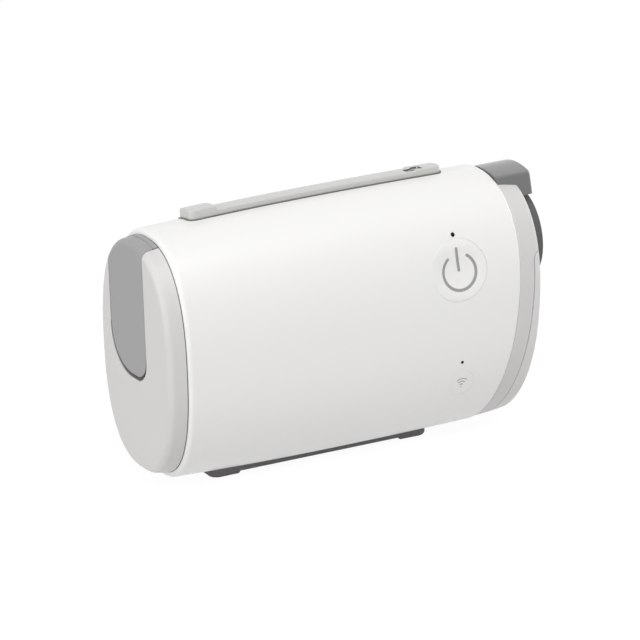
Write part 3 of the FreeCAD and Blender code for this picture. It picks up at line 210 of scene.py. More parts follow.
class CpapShape(bpy.types.PropertyGroup):
    """Sizes that a user would change."""

    rim_round: length("Inlet rim round", "Rounding of the casing's inlet rim", 1.5, 0.2, 3.0)
    edge_round: length("Outlet edge round", "Rounding of the casing's outlet edge", 0.8, 0.2, 2.0)
    seam_round: length("Seam round", "Rounding on both sides of the casing's seam", 0.22, 0.05, 0.6)
    casing_wall: length("Casing wall", "Wall of the casing", 2.0, 1.0, 3.0)
    cap_round: length("Cap round", "Rounding of the inlet cap's edge", 2.1, 0.5, 3.0)
    door_wall: length("Door wall", "Thickness of the filter door", 2.2, 1.0, 3.0)
    door_gap: length("Door gap", "Gap round the filter door", 0.3, 0.05, 0.6)
    door_corner: length("Door front corner", "Radius of the door's front corner", 7.0, 1.0, 10.0)
    door_sweep: length("Door rear corner", "Radius of the door's rear corner", 13.0, 1.0, 17.0)
    door_edge: length("Door edge", "Softening of the filter door's edge", 0.35, 0.05, 1.0)
    end_round: length("End round", "Rounding of the outlet end's edge", 1.2, 0.3, 3.0)
    end_wall: length("End wall", "Wall of the outlet end", 2.2, 1.0, 4.0)
    cover_offset: length("Cover offset", "Width of the end frame beside the cover", 5.6, 2.0, 7.0)
    cover_top: length("Cover top", "Height of the lower cover's top edge", 59.3, 40.0, 65.0)
    cover_corner: length("Cover corner", "Radius of the lower cover's top corner", 2.4, 0.5, 5.0)
    panel_gap: length("Panel gap", "Gap between the end frame and the lower cover", 0.22, 0.02, 0.5)
    hood_edge: length("Hood edge", "Rounding of the hood's top edge", 0.8, 0.1, 2.0)
    dish_radius: length("Dish radius", "Radius of the hollow in the start button", 41.0, 20.0, 80.0)
    dish_depth: length("Dish depth", "Depth of the hollow in the start button", 1.15, 0.2, 2.0)
    start_radius: length("Start button radius", "Radius of the start button", 9.75, 5.0, 12.0)
    pairing_radius: length("Pairing button radius", "Radius of the pairing button", 4.2, 2.0, 6.0)
    button_gap: length("Button gap", "Gap round each button", 0.03, 0.02, 0.3)


class CpapColours(bpy.types.PropertyGroup):
    """Colours that a user would change."""

    casing: colour("Casing", "White of the casing and buttons", (0.92, 0.915, 0.905))
    end: colour("Ends", "Light grey of both ends", (0.70, 0.69, 0.68))
    door: colour("Filter door", "Mid grey of the filter door", (0.355, 0.355, 0.355))
    hood: colour("Hood", "Dark grey of the hood", (0.135, 0.135, 0.135))
    port: colour("Port", "Dark grey of the outlet port", (0.09, 0.09, 0.09))
    rail: colour("Rail", "Light grey of the top rail", (0.60, 0.60, 0.585))
    foot: colour("Foot", "Dark grey of the rubber foot", (0.22, 0.216, 0.21))
    ink: colour("Sign", "Grey of the signs on the buttons", (0.35, 0.35, 0.342))
    lens: colour("Lens", "Smoky black of the unlit status lights", (0.006, 0.006, 0.006))
    inside: colour("Inner parts", "Grey of the chassis", (0.12, 0.13, 0.14))


class CpapStage(bpy.types.PropertyGroup):
    """Camera, lights and floor."""

    azimuth: number("Azimuth", "How far the camera stands to the left of the front",
                    math.radians(26.53), subtype="ANGLE")
    elevation: number("Elevation", "How far the camera looks down", math.radians(18.82),
                      subtype="ANGLE")
    roll: number("Roll", "How far the camera is rolled", math.radians(2.116), subtype="ANGLE")
    distance: number("Distance", "From the camera to the machine's middle", 2.0, unit="LENGTH")
    scale: number("Scale", "Pixels for one millimetre in a 640 pixel frame", 3.2065)
    centre_x: number("Centre across", "Pixel column of the aim point", 318.09)
    centre_y: number("Centre down", "Pixel row of the aim point", 317.91)
    ambient: number("Ambient", "Strength of the even light from all round", 0.35)
    key_power: number("Key light", "Power of the large lamp above the front", 9.6, unit="POWER")
    fill_power: number("Fill light", "Power of the lamp beside the inlet end", 4.2, unit="POWER")
    side_power: number("Side light", "Power of the lamp beside the outlet end", 4.0, unit="POWER")
    floor: colour("Floor", "Colour of the floor", (0.74, 0.74, 0.74))


# ----------------------------------------------------------------------------------- mesh building
def quads(rows, columns, start=0, wrap=False, flip=False):
    """Faces of a grid of points stored row by row, as an array of four indices each."""
    row = np.arange(rows - 1)[:, None]
    column = np.arange(columns if wrap else columns - 1)[None, :]
    first = start + row * columns + column
    second = start + row * columns + (column + 1) % columns
    faces = np.stack([first, second, second + columns, first + columns], -1).reshape(-1, 4)
    return faces[:, ::-1] if flip else faces


def strip(one, other, wrap=False):
    """Faces between two equally long rows of indices."""
    if wrap:
        one, other = np.append(one, one[0]), np.append(other, other[0])
    return np.stack([one[:-1], one[1:], other[1:], other[:-1]], -1)


def closed_between(upper, lower, wrap, spine=False):
    """A closed skin: two grids of the same size, joined along their outer rows and columns.

    With wrap the columns run round, and only the first and last rows are joined. With a spine the
    first row of each grid closes on itself, and only the last rows are joined."""
    rows, columns = upper.shape[:2]
    count = rows * columns
    index = np.arange(count).reshape(rows, columns)
    faces = [quads(rows, columns, 0, wrap), quads(rows, columns, count, wrap, flip=True)]
    for row, order in ((0, -1), (rows - 1, 1))[spine:]:
        one, other = index[row], index[row] + count
        faces.append(strip(one, other, wrap)[:, ::order])
    if not wrap:
        for column, order in ((0, 1), (columns - 1, -1)):
            one, other = index[:, column], index[:, column] + count
            faces.append(strip(one, other)[:, ::order])
    points = np.concatenate([upper.reshape(-1, 3), lower.reshape(-1, 3)])
    return points, np.concatenate(faces)


def read_array(collection, attribute, width, kind=np.float32):
    """An attribute of a collection's items: a row for each item, or a number where width is 1."""
    values = np.zeros(len(collection) * width, kind)
    collection.foreach_get(attribute, values)
    return values.reshape(-1, width) if width > 1 else values


def linked(name, data):
    """An object at the origin that holds a mesh, a lamp or a camera."""
    item = bpy.data.objects.new(name, data)
    bpy.context.scene.collection.objects.link(item)
    return item


def object_from(name, points, faces):
    """A piece from points in millimetres: doubles merged, empty faces dropped, faces outwards."""
    mesh = bpy.data.meshes.new(name)
    mesh.from_pydata((points * MM).tolist(), [], faces.tolist())
    work = bmesh.new()
    work.from_mesh(mesh)
    bmesh.ops.remove_doubles(work, verts=work.verts, dist=MERGE * MM)
    bmesh.ops.dissolve_degenerate(work, edges=work.edges, dist=MERGE / 4 * MM)
    bmesh.ops.recalc_face_normals(work, faces=work.faces)
    work.to_mesh(mesh)
    work.free()
    return linked(name, mesh)


def plate_object(name, upper, lower):
    """A piece from the rings of a plate, as plate_rows gives them, and of its underside."""
    return object_from(name, *closed_between(upper, lower, wrap=True, spine=True))


def raised(x, y, *heights):
    """Plan points with each of the given heights, as grids of points."""
    return [np.stack([x, y, height], -1) for height in heights]


def carve(item, operation, *cutters):
    """Applies boolean cuts to a piece and removes the cutters."""
    for cutter in cutters:
        step = item.modifiers.new(operation, "BOOLEAN")
        step.operation = operation
        step.solver = "EXACT"
        step.object = cutter
    graph = bpy.context.evaluated_depsgraph_get()
    result = bpy.data.meshes.new_from_object(item.evaluated_get(graph))
    before = item.data
    item.modifiers.clear()
    item.data = result
    bpy.data.meshes.remove(before)
    for cutter in cutters:
        bpy.data.objects.remove(cutter)
    return item


def finish_piece(item, body, slot, nodes=(), sharp=35.0, finish=None):
    """Smooths a piece up to an angle, gives it its slot's finish or another, and lets it ride."""
    item.data.shade_smooth()
    item.data.set_sharp_from_angle(angle=math.radians(sharp))
    item.data.materials.clear()
    item.data.materials.append(bpy.data.materials[(finish or slot) + FINISH])
    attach(item, body)
    if nodes:
        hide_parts(*nodes)


def weigh_normals(item):
    """Lets large faces rule the shading beside small ones, as after a boolean cut."""
    step = item.modifiers.new("weigh", "WEIGHTED_NORMAL")
    step.keep_sharp = True
    step.mode = "FACE_AREA"
    step.weight = 60


# ----------------------------------------------------------------------------------- plain cutters
def ring_turns(count):
    """Angles that divide a whole turn evenly."""
    return np.linspace(0, 2 * np.pi, count, endpoint=False)


def on_circle(turn):
    """Points of a circle of radius 1 at angles."""
    return np.column_stack([np.cos(turn), np.sin(turn)])


def rod_solid(name, radius, low, high, centre, axis="y", count=160):
    """A cylinder: a ring of points at each end of an axis through centre (the other two values)."""
    turn = ring_turns(count)
    along = np.array([low, low, high, high])[:, None] * np.ones(count)
    reach = np.array([0.0, radius, radius, 0.0])[:, None]
    one = centre[0] + reach * np.cos(turn)
    other = centre[1] + reach * np.sin(turn)
    order = {"x": (along, one, other), "y": (one, along, other)}[axis]
    points = np.stack(order, -1).reshape(-1, 3)
    return object_from(name, points, quads(4, count, wrap=True))


def front_hole(name, radius, centre, count=160):
    """A cutter for a round hole in the front."""
    return rod_solid(name, radius, -FAR, 0, centre[[0, 2]], count=count)


def lens_hole(node):
    """A cutter for the hole round a status light."""
    return front_hole(node + "_hole", radius_of(node) + LENS_GAP, centre_of(node), 48)


def block_solid(name, low, high):
    """A box between two corners."""
    pick = np.array([[i, j, k] for i in (0, 1) for j in (0, 1) for k in (0, 1)])
    points = np.where(pick == 0, np.array(low, float), np.array(high, float))
    faces = [[0, 1, 3, 2], [4, 6, 7, 5], [0, 4, 5, 1], [2, 3, 7, 6], [0, 2, 6, 4], [1, 5, 7, 3]]
    return object_from(name, points, np.array(faces))


def prism_solid(name, outline, low, high):
    """An outline of X and Z points carried straight along Y."""
    count = len(outline)
    near = np.column_stack([outline[:, 0], np.full(count, low), outline[:, 1]])
    far = near + [0, high - low, 0]
    item = linked(name, bpy.data.meshes.new(name))
    faces = strip(np.arange(count), np.arange(count) + count, wrap=True).tolist()
    faces += [list(range(count))[::-1], list(range(count, 2 * count))]
    points = np.concatenate([near, far]) * MM
    item.data.from_pydata(points.tolist(), [], faces)
    work = bmesh.new()
    work.from_mesh(item.data)
    bmesh.ops.recalc_face_normals(work, faces=work.faces)
    work.to_mesh(item.data)
    work.free()
    return item


# ----------------------------------------------------------------------------------- oval sections
def section(turn, side, top):
    """A superellipse |y/side|^n + |z/top|^n = 1 at angles from the back over the top."""
    across, up = np.cos(turn), np.sin(turn)
    y = np.sign(across) * np.abs(across) ** (2 / SECTION_POWER) * side
    z = np.sign(up) * np.abs(up) ** (2 / SECTION_POWER) * top + MIDDLE_Z
    return y, z


def walked_along(points):
    """How far each point of a line lies from its start, measured along it."""
    return np.concatenate([[0], np.cumsum(np.linalg.norm(np.diff(points, axis=0), axis=1))])


def even_turns(count, start, stop):
    """Angles between two limits that part the oval section into equal lengths."""
    fine = np.linspace(start, stop, 6000)
    walked = walked_along(np.column_stack(section(fine, HALF_DEPTH, HALF_HEIGHT)))
    return np.interp(np.linspace(0, walked[-1], count), walked, fine)


def whole_turns():
    """Angles that part the whole oval section evenly."""
    return even_turns(241, 0, 2 * np.pi)[:-1]


def same_x(x):
    """For skin: the same x at every height."""
    return lambda z: x + 0 * z


def arc_x(arc, z):
    """The x of a wide arc at a height: right end - radius + the root of radius^2 - drop^2."""
    radius, right, apex = arc
    return right - radius + np.sqrt(radius**2 - (z - apex) ** 2)


def barrel_size(x):
    """Side and top of the barrel at x: both draw in with the square of the way from the waist."""
    share = (x - WAIST_X) / HALF_LENGTH
    drop = np.where(share < 0, CROWN_INLET, CROWN_OUTLET)
    return HALF_DEPTH - SIDE_CROWN * share**2, HALF_HEIGHT - drop * share**2


def end_size(x):
    """Side and top of the outlet end: in line with the barrel, then tapering by a square law."""
    side, top = barrel_size(np.full_like(x, EDGE_X))
    share = np.maximum(0, (x - FRAME_START) / (END_X - FRAME_START)) ** 2
    return side - FRAME_TAPER[0] * share, top - FRAME_TAPER[1] * share


def cap_size(x):
    """Side and top of the inlet cap: the barrel's rim, a step in, and a draft towards the face."""
    side, top = barrel_size(np.full_like(x, RIM_X))
    share = (RIM_X - x) / CAP_LENGTH
    return side - CAP_STEP[0] - CAP_DRAFT[0] * share, top - CAP_STEP[1] - CAP_DRAFT[1] * share


def skin(turns, size, inset, place, shrink=1.0):
    """Rings of an oval skin. The x of a point comes from its height and the height from its x,
    so both are found together by a few repeats."""
    turns = np.broadcast_to(turns, np.broadcast_shapes(np.shape(turns), np.shape(inset)))
    x = place(np.full(turns.shape, MIDDLE_Z))
    for _ in range(6):
        side, top = size(x)
        y, z = section(turns, (side - inset) * shrink, (top - inset) * shrink)
        x = place(z)
    return np.stack([x + 0 * y, y, z], -1)


def quarter(radius, count):
    """A quarter of a circle as along and inward distances, from the skin to the face."""
    turn = np.linspace(0, np.pi / 2, count)
    return radius * np.sin(turn), radius * (1 - np.cos(turn))


def on_oval(share):
    """How far an oval section reaches one way at a share of its reach the other way."""
    return (1 - share**SECTION_POWER) ** (1 / SECTION_POWER)


def front_y(x, z):
    """The y of the barrel's front at x and z."""
    side, top = barrel_size(x)
    return -side * on_oval(np.abs(z - MIDDLE_Z) / top)


def top_z(x, y, size=barrel_size):
    """The height of an oval skin's top at x and y."""
    side, top = size(x)
    return MIDDLE_Z + top * on_oval(np.minimum(1, np.abs(y) / side))


# ------------------------------------------------------------------------------------------ plates
def plate_rows(outline, spine, edge, inner, outer):
    """Rings of a flat plate: points on straight lines from a spine to an outline.

    The inner rings divide the way to the rounding evenly, the outer ones lie on the rounding, a
    quarter circle. Gives plan points, and how far each lies below the plate's surface."""
    way = outline - spine
    reach = np.maximum(np.linalg.norm(way, axis=-1, keepdims=True), 1e-9)
    along = way / reach
    share = np.linspace(0, 1, inner)[:, None, None]
    flat = spine + along * (reach - edge) * share
    turn = np.linspace(0, np.pi / 2, outer)[1:, None, None]
    rolled = outline - along * edge * (1 - np.sin(turn))
    drop = np.concatenate([np.zeros((inner, len(outline))),
                           edge * (1 - np.cos(turn[..., 0])) * np.ones((1, len(outline)))])
    return np.concatenate([flat, rolled]), drop


def rounded_rectangle(left, right, low, high, radii, step, arc):
    """A rectangle's outline with a radius for each corner, anticlockwise from the lower left.

    Each corner has arc points, and straight sides get points about a step apart."""
    spots = [(left, low), (right, low), (right, high), (left, high)]
    turns = [np.pi, 1.5 * np.pi, 0.0, 0.5 * np.pi]
    inward = [(1, 1), (-1, 1), (-1, -1), (1, -1)]
    pieces = []
    for (x, y), turn, (sx, sy), radius in zip(spots, turns, inward, radii):
        angle = np.linspace(turn, turn + np.pi / 2, arc)
        pieces.append([x + sx * radius, y + sy * radius] + radius * on_circle(angle))
    corner_points = np.concatenate(pieces + [pieces[0][:1]])
    walked = walked_along(corner_points)
    marks = [walked[:-1]]
    for start, stop in zip(walked[:-1], walked[1:]):
        if stop - start > 1.5 * step:
            marks.append(np.linspace(start, stop, int((stop - start) / step) + 1)[1:-1])
    marks = np.sort(np.concatenate(marks))
    return np.column_stack([np.interp(marks, walked, corner_points[:, axis]) for axis in (0, 1)])


def long_spine(outline, left, right, middle):
    """The nearest points of an outline on a straight spine along X."""
    return np.column_stack([np.clip(outline[:, 0], left, right), np.full(len(outline), middle)])


def smooth_step(value, start, stop):
    """0 before start, 1 after stop, and a smooth S between them."""
    share = np.clip((value - start) / (stop - start), 0, 1)
    return share * share * (3 - 2 * share)


# ------------------------------------------------------------------------------ shader node groups
def new_group(name, inputs, outputs):
    """An empty shader node group with named sockets."""
    group = bpy.data.node_groups.new(name, "ShaderNodeTree")
    for label, kind, value in inputs:
        socket = group.interface.new_socket(name=label, in_out="INPUT", socket_type=kind)
        socket.default_value = value
    for label, kind in outputs:
        group.interface.new_socket(name=label, in_out="OUTPUT", socket_type=kind)
    start = group.nodes.new("NodeGroupInput")
    end = group.nodes.new("NodeGroupOutput")
    return group, start, end


def add(tree, kind, inputs=(), **values):
    """A node with its properties set, and its inputs given as pairs of socket and value.

    A value that is a socket of another node is linked, and any other is set."""
    node = tree.nodes.new(kind)
    for name, value in values.items():
        setattr(node, name, value)
    for key, value in dict(inputs).items():
        if isinstance(value, bpy.types.NodeSocket):
            tree.links.new(value, node.inputs[key])
        else:
            node.inputs[key].default_value = value
    return node


def send(tree, node, **sources):
    """Links sockets to a node's inputs, which are named with _ for a blank."""
    for name, source in sources.items():
        tree.links.new(source, node.inputs[name.replace("_", " ")])


def moulded_group():
    """Moulded plastic: a fine grain, and a slow change of tone and gloss."""
    group, start, end = new_group(
        "moulded_plastic",
        [("Colour", "NodeSocketColor", (0.8, 0.8, 0.8, 1)), ("Tone", "NodeSocketFloat", 0.02),
         ("Grain per metre", "NodeSocketFloat", 4000.0), ("Roughness", "NodeSocketFloat", 0.4),
         ("Spread", "NodeSocketFloat", 0.06)],
        [("Colour", "NodeSocketColor"), ("Roughness", "NodeSocketFloat"),
         ("Height", "NodeSocketFloat")])
    place = add(group, "ShaderNodeTexCoord").outputs["Object"]
    grain = add(group, "ShaderNodeTexNoise",
                {"Vector": place, "Scale": start.outputs["Grain per metre"], "Detail": 3.0})
    slow = add(group, "ShaderNodeTexNoise", {"Vector": place, "Scale": 28.0, "Detail": 4.0})
    centred = add(group, "ShaderNodeMath", {0: slow.outputs["Fac"], 1: 0.5},
                  operation="SUBTRACT").outputs[0]
    toned = add(group, "ShaderNodeMath", {0: centred, 1: start.outputs["Tone"], 2: 1.0},
                operation="MULTIPLY_ADD")
    scaled = add(group, "ShaderNodeVectorMath",
                 {0: start.outputs["Colour"], "Scale": toned.outputs[0]}, operation="SCALE")
    rough = add(group, "ShaderNodeMath",
                {0: centred, 1: start.outputs["Spread"], 2: start.outputs["Roughness"]},
                operation="MULTIPLY_ADD")
    send(group, end, Colour=scaled.outputs[0], Roughness=rough.outputs[0],
         Height=grain.outputs["Fac"])


def brushed_group():
    """Turned or brushed metal: noise stretched along one axis, as height and roughness."""
    group, start, end = new_group(
        "brushed_metal",
        [("Lines per metre", "NodeSocketFloat", 9000.0), ("Roughness", "NodeSocketFloat", 0.3)],
        [("Roughness", "NodeSocketFloat"), ("Height", "NodeSocketFloat")])
    place = add(group, "ShaderNodeTexCoord").outputs["Object"]
    squeeze = add(group, "ShaderNodeMapping", {"Vector": place, "Scale": (1.0, 0.04, 1.0)})
    noise = add(group, "ShaderNodeTexNoise",
                {"Vector": squeeze.outputs[0], "Scale": start.outputs["Lines per metre"]})
    lines = noise.outputs["Fac"]
    rough = add(group, "ShaderNodeMath", {0: lines, 1: 0.12, 2: start.outputs["Roughness"]},
                operation="MULTIPLY_ADD")
    send(group, end, Roughness=rough.outputs[0], Height=lines)


def cells_group():
    """Foam or felt: small cells with darker pits, as a colour, a roughness and a height."""
    group, start, end = new_group(
        "open_cells",
        [("Colour", "NodeSocketColor", (0.5, 0.5, 0.5, 1)),
         ("Pit colour", "NodeSocketColor", (0.1, 0.1, 0.1, 1)),
         ("Cells per metre", "NodeSocketFloat", 2500.0)],
        [("Colour", "NodeSocketColor"), ("Height", "NodeSocketFloat")])
    place = add(group, "ShaderNodeTexCoord").outputs["Object"]
    cells = add(group, "ShaderNodeTexVoronoi",
                {"Vector": place, "Scale": start.outputs["Cells per metre"]}).outputs["Distance"]
    mix = add(group, "ShaderNodeMix", {"Factor": cells}, data_type="RGBA")
    group.links.new(start.outputs["Colour"], mix.inputs[6])
    group.links.new(start.outputs["Pit colour"], mix.inputs[7])
    send(group, end, Colour=mix.outputs[2], Height=cells)


def shader_of(name, kind):
    """A new node material, a group node of the given kind in it, and its Principled shader."""
    material = bpy.data.materials.new(name + FINISH)
    material.use_nodes = True
    tree = material.node_tree
    group = add(tree, "ShaderNodeGroup", node_tree=bpy.data.node_groups[kind])
    return material, group, tree.nodes["Principled BSDF"]


def put(node, **values):
    """Sets a node's inputs, which are named with _ for a blank."""
    for name, value in values.items():
        node.inputs[name.replace("_", " ")].default_value = value


def finished(material, group, shader, strength, distance=0.02):
    """Links a group's colour and roughness to the shader, and its height through a Bump node.

    The distance is in millimetres."""
    tree = material.node_tree
    for output, socket in (("Colour", "Base Color"), ("Roughness", "Roughness")):
        if output in group.outputs:
            tree.links.new(group.outputs[output], shader.inputs[socket])
    node = add(tree, "ShaderNodeBump", {"Strength": strength, "Distance": distance * MM,
                                        "Height": group.outputs["Height"]})
    tree.links.new(node.outputs["Normal"], shader.inputs["Normal"])
    return material


def plastic(name, value, rough, tone=0.02, grain=4000.0, strength=0.15, coat=0.0, sheen=0.0,
            coat_rough=0.25, coat_ior=1.5, specular=0.5):
    """Moulded plastic or rubber of one colour."""
    material, group, shader = shader_of(name, "moulded_plastic")
    put(group, Colour=(*value, 1), Tone=tone, Grain_per_metre=grain, Roughness=rough)
    put(shader, Specular_IOR_Level=specular, Coat_Weight=coat, Coat_Roughness=coat_rough,
        Coat_IOR=coat_ior, Sheen_Weight=sheen)
    return finished(material, group, shader, strength)


def metal(name, value, rough, lines=9000.0, strength=0.2):
    """Turned, ground or brushed metal."""
    material, group, shader = shader_of(name, "brushed_metal")
    put(group, Lines_per_metre=lines, Roughness=rough)
    put(shader, Base_Color=(*value, 1), Metallic=1.0)
    return finished(material, group, shader, strength)


def porous(name, value, pit, cells):
    """Foam or felt with small cells."""
    material, group, shader = shader_of(name, "open_cells")
    put(group, Colour=(*value, 1), Pit_colour=(*pit, 1), Cells_per_metre=cells)
    put(shader, Roughness=0.95, Sheen_Weight=0.2)
    return finished(material, group, shader, 0.8, 0.2)


def scene_values():
    """The shape values in millimetres, as a plain object."""
    group = bpy.context.scene.cpap_shape
    names = CpapShape.__annotations__
    return SimpleNamespace(**{name: getattr(group, name) / MM for name in names})


# --------------------------------------------------------------------------------------- operators
class CPAP_OT_finishes(bpy.types.Operator):
    """Makes the finishes and gives each CAD piece that shows or can be uncovered its own"""

    bl_idname = "cpap.finishes"
    bl_label = "Finishes"

    def execute(self, context):
        tint = context.scene.cpap_colours
        moulded_group()
        brushed_group()
        cells_group()
        plastic("casing_white", tint.casing, 0.33, 0.012, 3500.0, 0.05, coat=0.3)
        plastic("button_white", tint.casing, 0.36, 0.012, 3500.0, 0.05, coat=0.2)
        plastic("end_grey", tint.end, 0.42, 0.02, 4200.0, 0.10)
        # the ends' grey made lighter for the lower cover: painted light, for the brighter light on
        # the outlet end's lower part
        plastic("cover_grey", [1.07 * value for value in tint.end], 0.42, 0.02, 4200.0, 0.10)
        plastic("door_grey", tint.door, 0.46, 0.03, 4200.0, 0.12)
        plastic("hood_grey", tint.hood, 0.40, 0.04, 4200.0, 0.12, coat=0.8, coat_rough=0.2,
                coat_ior=1.65)
        plastic("port_grey", tint.port, 0.40, 0.05, 4200.0, 0.12)
        plastic("rail_grey", tint.rail, 0.45, 0.03, 4200.0, 0.12, coat=0.5)
        # a dark copy of the rail's grey: painted shade for the lip under the rail and in the latch
        # notch
        plastic("lip_grey", [0.22 * value for value in tint.rail], 0.5, 0.03, 4200.0, 0.12)
        plastic("foot_rubber", tint.foot, 0.72, 0.06, 3000.0, 0.25, sheen=0.1)
        # a near-black rubber, which the dark lines at the cap's rim and round the door's edge use
        # as painted shade
        plastic("seal_rubber", (0.03, 0.03, 0.03), 0.6, 0.06, 3000.0, 0.25)
        plastic("sign_ink", tint.ink, 0.5, 0.03, 6000.0, 0.1)
        plastic("lens_clear", tint.lens, 0.3, 0.02, 3000.0, 0.02, specular=0.15)
        plastic("inlet_black", (0.02, 0.02, 0.02), 0.45, 0.06, 4200.0, 0.15)
        plastic("grille_black", (0.035, 0.035, 0.036), 0.5, 0.06, 4200.0, 0.15)
        plastic("chassis_grey", tint.inside, 0.5, 0.05, 3800.0, 0.15)
        plastic("blower_black", (0.03, 0.03, 0.033), 0.45, 0.06, 3800.0, 0.15)
        plastic("plunger_white", (0.6, 0.6, 0.57), 0.45, 0.03, 4200.0, 0.1)
        plastic("chip_black", (0.015, 0.015, 0.016), 0.6, 0.08, 9000.0, 0.3)
        plastic("board_green", (0.008, 0.09, 0.03), 0.25, 0.15, 1500.0, 0.05, coat=0.4)
        plastic("impeller_white", (0.68, 0.68, 0.65), 0.4, 0.03, 3800.0, 0.1)
        metal("pin_steel", (0.55, 0.55, 0.56), 0.28)
        metal("screw_steel", (0.5, 0.5, 0.51), 0.32)
        metal("bearing_steel", (0.65, 0.65, 0.66), 0.15, 15000.0, 0.1)
        metal("stator_steel", (0.36, 0.36, 0.37), 0.45, 5000.0, 0.5)
        metal("contact_brass", (0.72, 0.52, 0.22), 0.25)
        metal("coil_brass", (0.62, 0.26, 0.10), 0.35, 6000.0, 0.8)
        metal("magnet_grey", (0.16, 0.16, 0.17), 0.5, 3000.0, 0.4)
        porous("filter_white", (0.82, 0.82, 0.78), (0.5, 0.5, 0.46), 3000.0)
        porous("foam_grey", (0.14, 0.14, 0.15), (0.03, 0.03, 0.03), 1600.0)
        for entry in frame["record"]["subparts"]:
            finish = bpy.data.materials.get(entry["material_slot"] + FINISH)
            if finish is None:
                raise RuntimeError("no finish named " + entry["material_slot"])
            data = frame["nodes"][entry["node"]].data
            data.materials.clear()
            data.materials.append(finish)
        return {"FINISHED"}


class CPAP_OT_casing(bpy.types.Operator):
    """Builds the two white casing shells: oval rings along a barrel, closed by an inner wall"""

    bl_idname = "cpap.casing"
    bl_label = "Casing shells"

    def execute(self, context):
        values = scene_values()
        halves = (
            ("casing_front", "front_shell", np.pi / 2, 3 * np.pi / 2),
            ("casing_rear", "rear_shell", -np.pi / 2, np.pi / 2),
        )
        for name, node, start, stop in halves:
            item = object_from(name, *closed_between(*self.half(values, start, stop), wrap=False))
            if node == "front_shell":
                gap = values.button_gap
                carve(item, "DIFFERENCE",
                      front_hole("start_hole", values.start_radius + gap, START),
                      front_hole("pairing_hole", values.pairing_radius + gap, PAIRING),
                      lens_hole("status_lens"), lens_hole("wireless_lens"))
            finish_piece(item, "casing", "casing_white", [node], 30)
            hold_skin_normals(item, values)
        return {"FINISHED"}

    def half(self, values, start, stop):
        """One half as two grids: rows run along X, columns round the section from seam to seam.

        Inset grows at the rim, at the edge and beside the seam by a quarter circle each."""
        turns = even_turns(150, start, stop)
        near = even_turns(6000, start, stop)
        # columns close to the seam, as shares of a short way beside it
        fine = np.array([0.0, 0.03, 0.08, 0.15, 0.25, 0.5]) * (near[40] - near[0])
        first = start + fine
        last = (stop - fine)[::-1]
        turns = np.concatenate([first, turns[(turns > first[-1]) & (turns < last[0])], last])
        across, inward = quarter(values.rim_round, 9)
        right_across, right_inward = quarter(values.edge_round, 7)
        main = np.linspace(0, 1, 60)[1:-1]
        # for each row: share of the way from rim to edge, way from rim and from edge, and inset
        rows = [(0.0, values.rim_round - a, 0.0, i) for a, i in zip(across[::-1], inward[::-1])]
        rows += [(share, values.rim_round, values.edge_round, 0.0) for share in main]
        rows += [(1.0, 0.0, values.edge_round - a, i) for a, i in zip(right_across, right_inward)]
        share, left, right, inset = [np.array(column)[:, None] for column in zip(*rows)]

        def place(z):
            return (1 - share) * (RIM_X + left) + share * (arc_x(EDGE_ARC, z) - right)

        outer = skin(turns, barrel_size, inset, place)
        seam = np.clip(1 - np.abs(outer[..., 1]) / values.seam_round, 0, 1)
        groove = values.seam_round * (1 - np.sqrt(np.clip(1 - seam**2, 0, 1)))
        outer = skin(turns, barrel_size, inset + groove, place)
        inner = skin(turns, barrel_size, inset * 0 + values.casing_wall, place)
        return outer, inner


def hold_skin_normals(item, values):
    """Gives the barrel's own normals to the corners of faces that lie on its skin.

    The normal is the gradient of |y/side|^n + |z/top|^n, in which side and top change along X."""
    mesh = item.data
    normals = read_array(mesh.corner_normals, "vector", 3)
    where = read_array(mesh.loops, "vertex_index", 1, np.int32)
    spots = read_array(mesh.vertices, "co", 3)[where].astype(float) / MM
    totals = read_array(mesh.polygons, "loop_total", 1, np.int32)
    facing = np.repeat(read_array(mesh.polygons, "normal", 3), totals, axis=0)
    x, y, z = spots[:, 0], spots[:, 1], spots[:, 2] - MIDDLE_Z
    side, top = barrel_size(x)

    def level(side, top):
        return np.abs(y / side) ** SECTION_POWER + np.abs(z / top) ** SECTION_POWER

    step = 0.01
    side_on, top_on = barrel_size(x + step)
    slope = (level(side_on, top_on) - level(side, top)) / step
    power = SECTION_POWER
    gradient = np.stack([slope, power * np.sign(y) * np.abs(y / side) ** (power - 1) / side,
                         power * np.sign(z) * np.abs(z / top) ** (power - 1) / top], -1)
    gradient /= np.linalg.norm(gradient, axis=1, keepdims=True)
    slack, level_slack, same_way = 0.02, 0.004, 0.94
    chosen = np.abs(level(side, top) - 1) < level_slack
    chosen &= x > RIM_X + values.rim_round - slack
    chosen &= x < arc_x(EDGE_ARC, spots[:, 2]) - values.edge_round + slack
    chosen &= np.abs(y) > values.seam_round
    chosen &= np.sum(gradient * facing, axis=1) > same_way
    normals[chosen] = gradient[chosen]
    mesh.normals_split_custom_set(normals.tolist())


